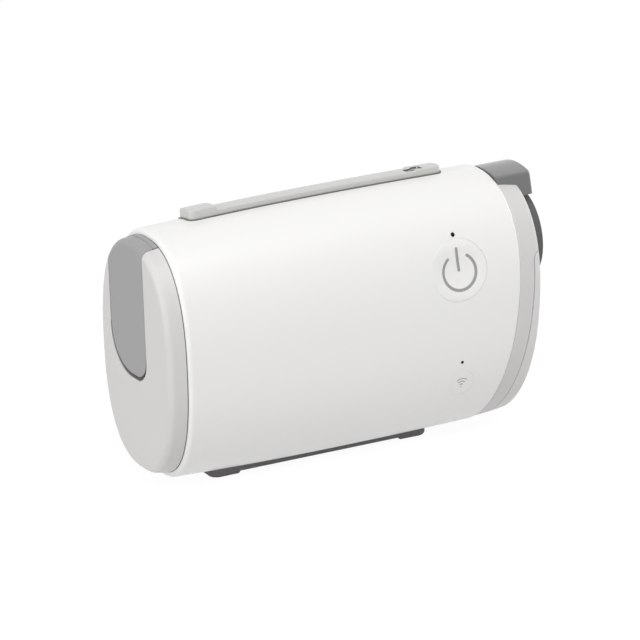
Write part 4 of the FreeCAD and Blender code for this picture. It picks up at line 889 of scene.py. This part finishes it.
class CPAP_OT_buttons(bpy.types.Operator):
    """Builds the dished start button, the pairing button, their signs and the two status lights"""

    bl_idname = "cpap.buttons"
    bl_label = "Buttons and lights"

    def execute(self, context):
        values = scene_values()

        def dished(x, z):
            return self.dish_y(x, z, values)

        start = self.disc("start_button_cap", START, values.start_radius, dished, START_EDGE)
        carve(start, "DIFFERENCE", lens_hole("status_lens"))
        finish_piece(start, "start_key", "button_white", ["start_button"])
        pairing = self.disc("pairing_button_cap", PAIRING, values.pairing_radius, front_y,
                            PAIRING_EDGE)
        finish_piece(pairing, "pairing_key", "button_white", ["pairing_button"])
        finish_piece(self.power_sign(dished), "start_key", "button_white", (), 60, "sign_ink")
        finish_piece(self.wave_sign(front_y), "pairing_key", "button_white", (), 60, "sign_ink")
        for node in ("status_lens", "wireless_lens"):
            lens = self.disc(node + "_dome", centre_of(node), radius_of(node), front_y, LENS_EDGE,
                             6, 48)
            finish_piece(lens, "casing", "lens_clear", [node])
        return {"FINISHED"}

    def dish_y(self, x, z, values):
        """The start button's face: the barrel's front, hollowed by a ball, joined by a soft edge.

        The soft edge is a polynomial blend of the two depths where they are nearly equal."""
        front = front_y(x, z)
        step = 0.1
        below, above = front_y(START[0], START[2] + np.array([-step, step]))
        rise = (above - below) / (2 * step)
        outward = np.array([-1.0, rise]) / math.hypot(1.0, rise)
        here = front_y(START[0], START[2])
        reach = values.dish_radius - values.dish_depth
        middle_y, middle_z = here + outward[0] * reach, START[2] + outward[1] * reach
        ball = middle_y + np.sqrt(values.dish_radius**2 - (x - START[0]) ** 2 - (z - middle_z) ** 2)
        share = np.clip(0.5 + 0.5 * (ball - front) / BUTTON_SOFT, 0, 1)
        return front * (1 - share) + ball * share + BUTTON_SOFT * share * (1 - share)

    def disc(self, name, centre, radius, depth, edge, inner=26, count=128):
        """A round plate: rings about its centre, its front at depth(x, z), its edge rolled back."""
        outline = centre[[0, 2]] + radius * on_circle(ring_turns(count))
        spine = np.broadcast_to(centre[[0, 2]], outline.shape)
        plan, drop = plate_rows(outline, spine, edge, inner, 6)
        x, z = plan[..., 0], plan[..., 1]
        front = np.stack([x, depth(x, z) + drop, z], -1)
        return plate_object(name, front, front + [0, BUTTON_WALL, 0])

    def power_sign(self, depth):
        """A ring open at its top and a short bar: two ribbons a hair above the button."""
        middle = START[[0, 2]] + START_SIGN_PLACE
        turn = np.radians(np.linspace(*START_SIGN_RING, 120))
        ring = middle + START_SIGN_RADIUS * on_circle(turn)
        upwards = on_circle(np.radians([START_SIGN_LEAN]))
        bar = middle + np.linspace(0.0, START_SIGN_BAR, 30)[:, None] * upwards
        return joined("start_sign", [ribbon(line, START_SIGN_HALF, depth, START_SIGN_LIFT)
                                     for line in (ring, bar)])

    def wave_sign(self, depth):
        """Three short arcs over a dot, a common sign for a radio link."""
        foot = PAIRING[[0, 2]] + [0, -WAVE_DROP]
        turn = np.radians(np.linspace(*WAVE_ENDS, 24))
        dot = foot + np.column_stack([np.linspace(-DOT_REACH, DOT_REACH, 6), np.zeros(6)])
        arcs = [ribbon(foot + radius * on_circle(turn), WAVE_HALF, depth, WAVE_LIFT)
                for radius in WAVE_RADII]
        return joined("pairing_sign", arcs + [ribbon(dot, DOT_HALF, depth, WAVE_LIFT)])


def ribbon(line, half, depth, lift):
    """A flat ribbon on the front: a line in X and Z with rounded ends, laid on depth(x, z).

    Columns run across it. Its half width shrinks to nothing towards each end, as in a circle."""
    way = np.gradient(line, axis=0)
    way /= np.linalg.norm(way, axis=1, keepdims=True)
    beside = np.column_stack([-way[:, 1], way[:, 0]])
    walked = walked_along(line)
    extra = half * (1 - np.cos(np.linspace(0, np.pi / 2, 6)))
    between = walked[(walked > half) & (walked < walked[-1] - half)]
    stations = np.unique(np.concatenate([extra, between, walked[-1] - extra]))
    centre, sideways = [np.column_stack([np.interp(stations, walked, values[:, k]) for k in (0, 1)])
                        for values in (line, beside)]
    end = np.minimum(np.minimum(stations, walked[-1] - stations), half)
    width = np.sqrt(np.maximum(half**2 - (half - end) ** 2, 1e-6))
    share = np.linspace(-1, 1, 5)
    plan = centre[:, None] + sideways[:, None] * (width[:, None] * share)[..., None]
    x, z = plan[..., 0], plan[..., 1]
    front = np.stack([x, depth(x, z) - lift, z], -1)
    return closed_between(front, front + [0, lift + SIGN_DEPTH, 0], wrap=False)


def joined(name, parts):
    """One object from several closed skins."""
    points, faces, start = [], [], 0
    for spots, rings in parts:
        points.append(spots)
        faces.append(rings + start)
        start += len(spots)
    return object_from(name, np.concatenate(points), np.concatenate(faces))


class CPAP_OT_inlet_end(bpy.types.Operator):
    """Builds the light grey inlet cap with its recess and the grey filter door that lies in it"""

    bl_idname = "cpap.inlet_end"
    bl_label = "Inlet cap and filter door"

    def execute(self, context):
        values = scene_values()
        cap = self.cap(values)
        finish_piece(cap, "casing", "end_grey", ["inlet_end_cap"], 30)
        weigh_normals(cap)
        finish_piece(self.door(values), "door", "door_grey", ["filter_door"], 40)
        # a dark ring of painted shade in the gap at the casing's rim
        finish_piece(self.rim_seal(), "casing", "seal_rubber", sharp=40)
        # a dark band of painted shade in the gap round the door
        finish_piece(self.door_seal(values), "door", "seal_rubber", sharp=40)
        finish_piece(self.hinge_strip(values), "door", "door_grey", sharp=40)
        return {"FINISHED"}

    def cap(self, values):
        """A closed oval block: rings along its side, round the edge, then in to the centre."""
        turns = whole_turns()
        across, inward = quarter(values.cap_round, 12)
        back = np.linspace(RIM_X, FACE_X + values.cap_round, 8)
        places = np.concatenate([back, FACE_X + values.cap_round - across[1:]])
        insets = np.concatenate([back * 0, inward[1:]])
        scales = np.ones(len(places))
        centre = np.linspace(1, 0, 30)[1:]
        places = np.concatenate([[RIM_X], places, np.full(len(centre), FACE_X)])
        insets = np.concatenate([[0], insets, np.full(len(centre), values.cap_round)])
        scales = np.concatenate([[0], scales, centre])
        places = places[:, None]
        rows = skin(turns, cap_size, insets[:, None], same_x(places), scales[:, None])
        rows[..., 0] = places
        item = object_from("inlet_cap", rows.reshape(-1, 3), quads(*rows.shape[:2], wrap=True))
        # the recess of the door, its deeper pocket round the hinge, and the filter bay behind it
        gap = values.door_gap
        front, rear, sky = door_low[1] - gap, door_high[1] + gap, 2 * FAR
        outline = rounded_rectangle(front, rear, door_low[2] - DOOR_RECESS_DROP, sky,
                                    [values.door_corner + gap, values.door_sweep + gap,
                                     SHARP_CORNER, SHARP_CORNER], step=4.0, arc=14)
        recess = self.along_x("recess", outline, FACE_X - CLEAR, FACE_X + values.door_wall + gap)
        pocket = block_solid("pocket", [FACE_X - CLEAR, front, HINGE[2] - HINGE_POCKET],
                             [RIM_X + CLEAR, rear, sky])
        filter_low, filter_high = corners("air_filter")
        bay = block_solid("bay", [FACE_X - CLEAR, *(filter_low[1:] - BAY_GAP)],
                          [RIM_X + CLEAR, *(filter_high[1:] + BAY_GAP)])
        return carve(item, "DIFFERENCE", recess, pocket, bay)

    def along_x(self, name, outline, low, high):
        """An outline of Y and Z points carried straight along X."""
        item = prism_solid(name, outline, low, high)
        spots = read_array(item.data.vertices, "co", 3)[:, [1, 0, 2]]
        item.data.vertices.foreach_set("co", spots.ravel())
        item.data.flip_normals()
        return item

    def wrap(self, y, v, values):
        """The cap's own surface above its face: y across, v upwards over the edge.

        Below v = 0 it is the flat face. Above, v runs round the edge's quarter circle and then
        along the drafted top."""
        radius = values.cap_round
        turn = np.clip(v / radius, 0, np.pi / 2)
        beyond = np.maximum(v - radius * np.pi / 2, 0)
        x = FACE_X + radius * (1 - np.cos(turn)) + beyond
        inset = radius * (1 - np.sin(turn))
        side, top = cap_size(x)
        side, top = side - inset, top - inset
        lift = MIDDLE_Z + top * on_oval(np.abs(y) / side)
        # on the face, the lines of equal v straighten from the curved edge to a level line below
        share = smooth_step(v, -DOOR_STRAIGHTEN, 0.0)
        z = np.where(v < 0, (self.level(values) + v) * (1 - share) + (lift + v) * share, lift)
        return np.stack([x, y, z], -1)

    def offset(self, y, v, depth, values):
        """Points a depth under the wrap, square to it."""
        step = 0.02
        here = self.wrap(y, v, values)
        along_y = self.wrap(y + step, v, values) - self.wrap(y - step, v, values)
        along_v = self.wrap(y, v + step, values) - self.wrap(y, v - step, values)
        normal = np.cross(along_v, along_y)
        normal /= np.linalg.norm(normal, axis=-1, keepdims=True)
        outward = here - np.array([WAIST_X, 0.0, MIDDLE_Z])
        turned = np.sign(np.sum(normal * outward, axis=-1, keepdims=True))
        return here - normal * turned * depth[..., None]

    def level(self, values):
        """The height of v = 0 low on the face, where the lines of equal v are level."""
        return MIDDLE_Z + cap_size(np.array(FACE_X))[1] - values.cap_round - DOOR_LEVEL_DROP

    def hinge_v(self, values):
        """The v of the hinge's line: the edge's quarter circle and the way along the top."""
        return values.cap_round * np.pi / 2 + (HINGE[0] - FACE_X - values.cap_round)

    def wrapped(self, name, plan, drop, wall, values, spine=True):
        """A closed piece on the wrap: its outer skin lies drop deep, its inner skin wall deep."""
        y, v = plan[..., 0], plan[..., 1]
        outer = self.offset(y, v, drop, values)
        inner = self.offset(y, v, np.full(drop.shape, wall), values)
        return object_from(name, *closed_between(outer, inner, wrap=True, spine=spine))

    def door(self, values):
        """The filter door: a plate with rounded lower corners, wrapped over the cap's edge.

        Its spine is stepped evenly, so that the rings of both sides meet point on point."""
        v_low, v_high = door_low[2] - self.level(values), self.hinge_v(values)
        outline = rounded_rectangle(door_low[1], door_high[1], v_low, v_high,
                                    [values.door_corner, values.door_sweep,
                                     DOOR_TOP_CORNER, DOOR_TOP_CORNER], step=0.4, arc=14)
        half, middle = (door_high[1] - door_low[1]) / 2, (door_high[1] + door_low[1]) / 2
        step, top_inset = 0.5, 0.6
        along = np.clip(np.round(outline[:, 1] / step) * step, v_low + max(half, values.door_sweep),
                        v_high - top_inset)
        spine = np.column_stack([np.full(len(outline), middle), along])
        plan, drop = plate_rows(outline, spine, values.door_edge, 34, 6)
        return self.wrapped("filter_door_skin", plan, drop, values.door_wall, values)

    def rim_seal(self):
        """A fine dark ring of painted shade where the cap enters the casing, standing for the
        shadow in that gap: a band of the cap's oval section.
        """
        turns = whole_turns()
        x = RIM_X + np.array(RIM_SHADE_X)[:, None]
        outer, inner = [skin(turns, cap_size, np.full((2, 1), inset), same_x(x))
                        for inset in RIM_SHADE_INSETS]
        return object_from("rim_seal", *closed_between(outer, inner, wrap=True))

    def door_seal(self, values):
        """A fine dark band of painted shade round the door's edge, standing for the shadow in its
        gap: the door's outline, widened into the gap.
        """
        low, high = door_low[2] - self.level(values), self.hinge_v(values) - DOOR_SHADE_TOP
        rings = []
        for grow in (-DOOR_SHADE_LAP, values.door_gap - DOOR_SHADE_GAP):
            radii = [values.door_corner + grow, values.door_sweep + grow,
                     DOOR_TOP_CORNER, DOOR_TOP_CORNER]
            rings.append(rounded_rectangle(door_low[1] - grow, door_high[1] + grow, low - grow,
                                           high, radii, step=2 * FAR, arc=40))
        plan = np.stack(rings)
        drop = np.full(plan.shape[:2], DOOR_SHADE_DROP)
        return self.wrapped("door_seal", plan, drop, DOOR_SHADE_WALL, values, False)

    def hinge_strip(self, values):
        """The door's heel behind the hinge, which reaches to the casing's rim and turns with it."""
        v_low = self.hinge_v(values) + HEEL_START
        v_high = self.hinge_v(values) + (RIM_X - HINGE[0]) - HEEL_END
        outline = rounded_rectangle(door_low[1], door_high[1], v_low, v_high, [HEEL_CORNER] * 4,
                                    step=0.4, arc=4)
        spine = long_spine(outline, door_low[1] + HEEL_SPINE, door_high[1] - HEEL_SPINE,
                           (v_low + v_high) / 2)
        plan, drop = plate_rows(outline, spine, HEEL_EDGE, 8, 4)
        return self.wrapped("hinge_strip", plan, drop - HEEL_RISE, HEEL_WALL, values)


class CPAP_OT_outlet_end(bpy.types.Operator):
    """Builds the light grey end frame and lower cover, the outlet port and the dark hood"""

    bl_idname = "cpap.outlet_end"
    bl_label = "Outlet end"

    def execute(self, context):
        values = scene_values()
        jack_z = centre_of("power_inlet")[2]
        for name, node, kept in (("end_frame", "outlet_end_frame", False),
                                 ("lower_cover", "lower_end_cover", True)):
            item = self.end(values, name)
            outline = self.cover_outline(values, 0.0 if kept else values.panel_gap)
            cover = prism_solid("cover_form", outline, -FAR, FAR)
            carve(item, "INTERSECT" if kept else "DIFFERENCE", cover)
            carve(item, "DIFFERENCE",
                  rod_solid("port_hole", PORT_HOLE, *THROUGH_X, (0.0, PORT[2]), "x"),
                  rod_solid("jack_hole", JACK_HOLE, *THROUGH_X, (0.0, jack_z), "x", 64))
            # the lower cover takes the lighter copy of the ends' grey, as painted light
            finish_piece(item, "casing", "end_grey", [node], 30, "cover_grey" if kept else None)
            weigh_normals(item)
        finish_piece(self.port(), "casing", "port_grey", ["outlet_port"])
        finish_piece(self.hood(values), "casing", "hood_grey", ["connector_hood"])
        return {"FINISHED"}

    def end(self, values, name):
        """The whole outlet end as a closed wall: rings from the casing's edge to the face's centre.

        Each ring's x is a share of the way between two arcs, less the rounding near the face."""
        turns = whole_turns()
        across, inward = quarter(values.end_round, 9)
        first_across, first_inward = [part[::-1] for part in quarter(END_START_ROUND, 5)]
        start = END_START_ROUND + END_START_GAP
        main = np.linspace(0, 1, 14)[1:-1]
        # for each row: share of the way, distance from the edge, from the face, inset and scale
        rows = [(0.0, start - a, 0.0, i, 1.0) for a, i in zip(first_across, first_inward)]
        rows += [(share, start, values.end_round, 0.0, 1.0) for share in main]
        rows += [(1.0, 0.0, values.end_round - a, i, 1.0) for a, i in zip(across, inward)]
        rows += [(1.0, 0.0, 0.0, values.end_round, scale) for scale in np.linspace(1, 0, 26)[1:]]
        share, left, right, inset, scale = [np.array(column)[:, None] for column in zip(*rows)]

        def at_depth(depth):
            def place(z):
                near = arc_x(EDGE_ARC, z) + left
                far = arc_x(FACE_ARC, z) - right - depth
                return (1 - share) * near + share * far
            return place

        wall = values.end_wall
        outer = skin(turns, end_size, inset, at_depth(0.0), scale)
        inner = skin(turns, end_size, inset * 0 + wall, at_depth(wall), scale)
        return object_from(name, *closed_between(outer, inner, wrap=True))

    def cover_outline(self, values, gap):
        """The lower cover seen from the front: the end arc shifted right, a rounded top corner."""
        top = values.cover_top + gap
        arc = (EDGE_ARC[0], EDGE_ARC[1] + values.cover_offset - gap, EDGE_ARC[2])
        radius = values.cover_corner + gap
        corner = [arc_x(arc, top - radius) + radius, top - radius]
        rounding = corner + radius * on_circle(np.linspace(np.pi / 2, np.pi, 12))
        below, beyond = -12.0, 100.0
        z = np.linspace(top - radius, below, 60)[1:]
        side = np.column_stack([arc_x(arc, z), z])
        return np.concatenate([[[beyond, top]], rounding, side, [[beyond, below]]])

    def port(self):
        """The outlet port: a profile of x and radius, with its seal groove, turned about X."""
        base, tip = port_low[0], port_high[0]
        flange_radius = (port_high[2] - port_low[2]) / 2

        def roll(radius, side):
            """A small quarter round at the tip, at a wall's outer side (1) or inner side (-1)."""
            turned = np.linspace(0, np.pi / 2, 5)[::side]
            return np.column_stack([tip - PORT_ROUND + PORT_ROUND * np.sin(turned),
                                    radius - side * (PORT_ROUND - PORT_ROUND * np.cos(turned))])

        profile = np.concatenate([
            [[base, PORT_BORE], [base, flange_radius], [base + PORT_FLANGE, flange_radius],
             [base + PORT_FLANGE, PORT_OUTER]],
            roll(PORT_OUTER, 1), roll(SEAL_OUTER, -1),
            [[tip - SEAL_DEPTH, SEAL_OUTER], [tip - SEAL_DEPTH, SEAL_INNER]],
            roll(SEAL_INNER, 1), roll(PORT_BORE, -1),
        ])
        turn = ring_turns(160)
        x, radius = profile[:, :1] + 0 * turn, profile[:, 1:]
        points = np.stack([x, radius * np.cos(turn), PORT[2] + radius * np.sin(turn)], -1)
        index = np.arange(x.size).reshape(x.shape)
        faces = np.concatenate([quads(*x.shape, wrap=True), strip(index[-1], index[0], wrap=True)])
        return object_from("outlet_port_ring", points.reshape(-1, 3), faces)

    def hood(self, values):
        """The hood from above: straight sides and a bowed nose. Its top is a shallow arch across Y,
        its foot follows the outlet end's skin and is level beyond it."""
        half, low, high, tip = hood_high[1], hood_low[2], hood_high[2], hood_high[0]
        left, corner = HOOD_LEFT, HOOD_CORNER
        y = np.linspace(-half, half, 41)
        bow = np.column_stack([tip - HOOD_NOSE + np.sqrt(HOOD_NOSE**2 - y**2), y])
        side_x = np.linspace(left, bow[0, 0] - corner, 40)
        rolled = corner * on_circle(np.linspace(-np.pi / 2, HOOD_CORNER_END, 6))
        front = [bow[0, 0] - corner, corner - half] + rolled
        nose = bow[np.abs(y) < half - HOOD_NOSE_INSET]
        outline = np.concatenate([
            np.column_stack([side_x, np.full(40, -half)]), front, nose,
            (front * [1, -1])[::-1], np.column_stack([side_x[::-1], np.full(40, half)]),
            np.column_stack([np.full(19, left), np.linspace(half, -half, 21)[1:-1]]),
        ])
        spine = long_spine(outline, left + HOOD_SPINE_INSETS[0], tip - HOOD_SPINE_INSETS[1], 0.0)
        plan, drop = plate_rows(outline, spine, values.hood_edge, 40, 6)
        x, across = plan[..., 0], plan[..., 1]
        arch = np.where(across < HOOD_CREST, HOOD_FRONT_ARCH, HOOD_REAR_ARCH)
        upper = high + HOOD_LIFT - (arch - np.sqrt(arch**2 - (across - HOOD_CREST) ** 2)) - drop
        seat = top_z(np.minimum(x, END_X), across, end_size) - HOOD_SINK
        past = smooth_step(x, END_X - HOOD_FOOT_STEP[0], END_X - HOOD_FOOT_STEP[1])
        lower = np.maximum(low, seat * (1 - past) + low * past)
        lower = np.minimum(lower, upper - HOOD_WALL)
        reach = smooth_step(x, tip - HOOD_LEAN_LENGTH, tip)
        item = plate_object("hood", np.stack([x + HOOD_LEAN_TOP * reach, across, upper], -1),
                            np.stack([x + HOOD_LEAN_FOOT * reach, across, lower], -1))
        below, above, beyond = 40.0, 90.0, 20.0
        edge = np.linspace(below, above, 60)
        side = np.column_stack([arc_x(EDGE_ARC, edge) + HOOD_CASING_GAP, edge])
        outline = np.concatenate([side, [[beyond, above], [beyond, below]]])
        return carve(item, "DIFFERENCE", prism_solid("casing_side", outline, -FAR, FAR))


class CPAP_OT_rails(bpy.types.Operator):
    """Builds the rail along the top and the rubber foot below, each with two raised end pads"""

    bl_idname = "cpap.rails"
    bl_label = "Rails"

    def execute(self, context):
        finish_piece(self.rail(), "casing", "rail_grey", ["top_rail"], 50)
        # the lip and the notch's sheet take the dark copy of the rail's grey, as painted shade
        finish_piece(self.rail_lip(), "casing", "rail_grey", (), 50, "lip_grey")
        finish_piece(self.notch_painted_shade(), "casing", "rail_grey", (), 50, "lip_grey")
        finish_piece(self.foot(), "casing", "foot_rubber", ["foot_rail"], 50)
        return {"FINISHED"}

    def plan(self, low, high, radius, edge):
        """Rings of a long plate seen from above: x, y and how far each lies below its top."""
        outline = rounded_rectangle(low[0], high[0], low[1], high[1], [radius] * 4, step=0.35,
                                    arc=10)
        half = (high[1] - low[1]) / 2
        spine = long_spine(outline, low[0] + half, high[0] - half, (low[1] + high[1]) / 2)
        plan, drop = plate_rows(outline, spine, edge, 14, 7)
        return plan[..., 0], plan[..., 1], drop

    def rail(self):
        """The top rail: a bar along the barrel's top, higher at its pads, with a latch notch."""
        x, y, drop = self.plan(BAR_LOW, BAR_HIGH, RAIL_CORNER, RAIL_EDGE)
        return plate_object("top_rail_strip", *raised(x, y, self.rail_top(x, y) - drop,
                                                      top_z(x, y) - RAIL_SINK))

    def rail_top(self, x, y, notch_depth=NOTCH_DEPTH):
        """The rail's top: the barrel's crown plus the bar, higher at its pads, less the notch."""
        left = 1 - smooth_step(x, BAR_LOW[0] + PAD_LENGTH - PAD_SLOPE, BAR_LOW[0] + PAD_LENGTH)
        right = smooth_step(x, BAR_HIGH[0] - PAD_LENGTH, BAR_HIGH[0] - PAD_LENGTH + PAD_SLOPE)
        notch = notch_depth
        for value, (start, stop), slope in ((x, NOTCH_X, NOTCH_SLOPE_X),
                                            (y - BAR_LOW[1], NOTCH_Y, NOTCH_SLOPE_Y)):
            notch = notch * smooth_step(value, start, start + slope)
            notch = notch * (1 - smooth_step(value, stop - slope, stop))
        return top_z(x, y) + RAIL_HEIGHT + PAD_RISE[0] * left + PAD_RISE[1] * right - notch

    def notch_painted_shade(self):
        """A thin dark sheet of painted shade in the rail's latch notch, on the notch's floor and
        walls.
        """
        gap_x, gap_y = NOTCH_SHADE_GAPS
        x, y = np.meshgrid(np.linspace(NOTCH_X[0] + gap_x, NOTCH_X[1] - gap_x, 60),
                           BAR_LOW[1] + np.linspace(NOTCH_Y[0] + gap_y, NOTCH_Y[1] - gap_y, 40),
                           indexing="ij")
        upper = self.rail_top(x, y, NOTCH_SHADE_SHARE * NOTCH_DEPTH) + NOTCH_SHADE_LIFT
        return object_from("rail_notch_liner",
                           *closed_between(*raised(x, y, upper, upper - NOTCH_SHADE_WALL), wrap=False))

    def rail_lip(self):
        """The thin lip round the rail's foot: a low plate on the barrel, coloured dark as painted
        shade for the shadow line under the rail.
        """
        x, y, drop = self.plan(rail_low, rail_high, LIP_CORNER, LIP_EDGE)
        base = top_z(x, y)
        upper, lower = base + LIP_HEIGHT - drop, base - RAIL_SINK
        return plate_object("top_rail_lip", *raised(x, y, upper, lower))

    def foot(self):
        """The foot: a bar under the barrel whose two pads reach the ground."""
        x, y, drop = self.plan(foot_low, foot_high, FOOT_CORNER, FOOT_EDGE)
        base = 2 * MIDDLE_Z - top_z(x, y)
        left, right = foot_low[0] + PAD_LENGTH, foot_high[0] - PAD_LENGTH
        pads = 1 - smooth_step(x, left, left + FOOT_PAD_SLOPE)
        pads += smooth_step(x, right - FOOT_PAD_SLOPE, right)
        lower = foot_low[2] + FOOT_RISE * (1 - np.clip(pads, 0, 1)) + drop
        upper = np.maximum(np.minimum(base + FOOT_SINK, foot_high[2]), lower + FOOT_WALL)
        return plate_object("foot_strip", *raised(x, y, lower, upper))


class CPAP_OT_stage(bpy.types.Operator):
    """Places the camera, the lamps, the world and the pale floor"""

    bl_idname = "cpap.stage"
    bl_label = "Stage"

    def execute(self, context):
        stage = context.scene.cpap_stage
        self.camera(context, stage)
        # each lamp's name, its place in metres, its power and its width
        for name, place, power, size in (("key", (-0.15, -0.62, 1.15), stage.key_power, 0.9),
                                         ("fill", (-1.15, -0.05, 0.35), stage.fill_power, 0.7),
                                         ("side", (1.15, 0.05, 0.35), stage.side_power, 0.7)):
            self.lamp(name, place, power, size)
        self.world(context, stage)
        self.floor(stage)
        context.scene.view_settings.view_transform = "Standard"
        return {"FINISHED"}

    def camera(self, context, stage):
        """The camera: turned by azimuth, elevation and roll about the aim point, then shifted."""
        a, e, r = stage.azimuth, stage.elevation, stage.roll
        forward = np.array([math.sin(a) * math.cos(e), math.cos(a) * math.cos(e), -math.sin(e)])
        right = np.array([math.cos(a), -math.sin(a), 0.0])
        up = np.array([math.sin(a) * math.sin(e), math.cos(a) * math.sin(e), math.cos(e)])
        across = math.cos(r) * right - math.sin(r) * up
        upward = math.sin(r) * right + math.cos(r) * up
        spot = np.array(AIM) - forward * stage.distance / MM
        spot = spot + across * (FRAME_PIXELS / 2 - stage.centre_x) / stage.scale
        spot = spot + upward * (stage.centre_y - FRAME_PIXELS / 2) / stage.scale
        data = bpy.data.cameras.new("camera")
        data.sensor_width = SENSOR
        data.lens = stage.scale * stage.distance / MM * SENSOR / FRAME_PIXELS
        data.clip_end = 20.0
        camera = linked("camera", data)
        turn = Matrix(np.column_stack([across, upward, -forward]).tolist()).to_4x4()
        camera.matrix_world = Matrix.Translation(Vector((spot * MM).tolist())) @ turn
        context.scene.camera = camera

    def lamp(self, name, place, power, size):
        """A large soft lamp that looks at the machine's middle."""
        data = bpy.data.lights.new(name, "AREA")
        data.energy = power
        data.size = size
        lamp = linked(name, data)
        aim = Vector(LAMP_AIM) - Vector(place)
        turn = aim.to_track_quat("-Z", "Y").to_matrix().to_4x4()
        lamp.matrix_world = Matrix.Translation(place) @ turn

    def world(self, context, stage):
        """An even pale world that the camera, mirrors and glass see as plain white."""
        world = bpy.data.worlds.new("studio")
        world.use_nodes = True
        tree = world.node_tree
        tree.nodes.clear()
        seen = add(tree, "ShaderNodeBackground", {"Color": WHITE})
        soft = add(tree, "ShaderNodeBackground", {"Color": WHITE, "Strength": stage.ambient})
        self.mixed(tree, self.seen_mask(tree), soft, seen, "ShaderNodeOutputWorld")
        context.scene.world = world

    def mixed(self, tree, share, one, other, output):
        """A mix of two shaders into the output."""
        mix = add(tree, "ShaderNodeMixShader", {0: share, 1: one.outputs[0], 2: other.outputs[0]})
        add(tree, output, {"Surface": mix.outputs[0]})

    def seen_mask(self, tree):
        """1 for rays from the camera, off mirrors and through glass."""
        path = add(tree, "ShaderNodeLightPath")
        total = path.outputs["Is Camera Ray"]
        for kind in ("Is Glossy Ray", "Is Transmission Ray"):
            total = add(tree, "ShaderNodeMath", {0: total, 1: path.outputs[kind]},
                        operation="MAXIMUM").outputs[0]
        return total

    def floor(self, stage):
        """A wide floor under the foot: its own pale colour, lifted to white for the camera."""
        corners_at = FLOOR_HALF * np.array([[-1, -1, 0], [1, -1, 0], [1, 1, 0], [-1, 1, 0]], float)
        mesh = bpy.data.meshes.new("floor")
        mesh.from_pydata(corners_at.tolist(), [], [[0, 1, 2, 3]])
        material = bpy.data.materials.new("floor")
        material.use_nodes = True
        tree = material.node_tree
        tree.nodes.clear()
        matt = add(tree, "ShaderNodeBsdfDiffuse", {"Color": (*stage.floor, 1)})
        white = add(tree, "ShaderNodeEmission", {"Color": WHITE, "Strength": FLOOR_GLOW})
        share = add(tree, "ShaderNodeMath", {0: self.seen_mask(tree), 1: FLOOR_WHITE},
                    operation="MULTIPLY")
        self.mixed(tree, share.outputs[0], matt, white, "ShaderNodeOutputMaterial")
        mesh.materials.append(material)
        linked("floor", mesh)


class CPAP_PT_panel(bpy.types.Panel):
    """Lists the steps that build the machine"""

    bl_idname = "CPAP_PT_panel"
    bl_label = "CPAP machine"
    bl_space_type = "VIEW_3D"
    bl_region_type = "UI"
    bl_category = "CPAP"

    def draw(self, context):
        for step in STEPS:
            self.layout.operator(step.bl_idname)
        for name, group in GROUPS.items():
            box = self.layout.box()
            for value in group.__annotations__:
                box.prop(getattr(context.scene, name), value)


STEPS = (CPAP_OT_finishes, CPAP_OT_casing, CPAP_OT_buttons, CPAP_OT_inlet_end, CPAP_OT_outlet_end,
         CPAP_OT_rails, CPAP_OT_stage)
GROUPS = {"cpap_shape": CpapShape, "cpap_colours": CpapColours, "cpap_stage": CpapStage}


def register():
    """Registers the classes and hangs the property groups on the scene."""
    for item in (*GROUPS.values(), *STEPS, CPAP_PT_panel):
        bpy.utils.register_class(item)
    for name, group in GROUPS.items():
        setattr(bpy.types.Scene, name, PointerProperty(type=group))


def unregister():
    """Takes everything away again."""
    for name in GROUPS:
        delattr(bpy.types.Scene, name)
    for item in reversed((*GROUPS.values(), *STEPS, CPAP_PT_panel)):
        bpy.utils.unregister_class(item)


def main():
    """Builds everything in order."""
    register()
    for step in STEPS:
        area, name = step.bl_idname.split(".")
        getattr(getattr(bpy.ops, area), name)()
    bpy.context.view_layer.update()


if __name__ == "__main__":
    main()
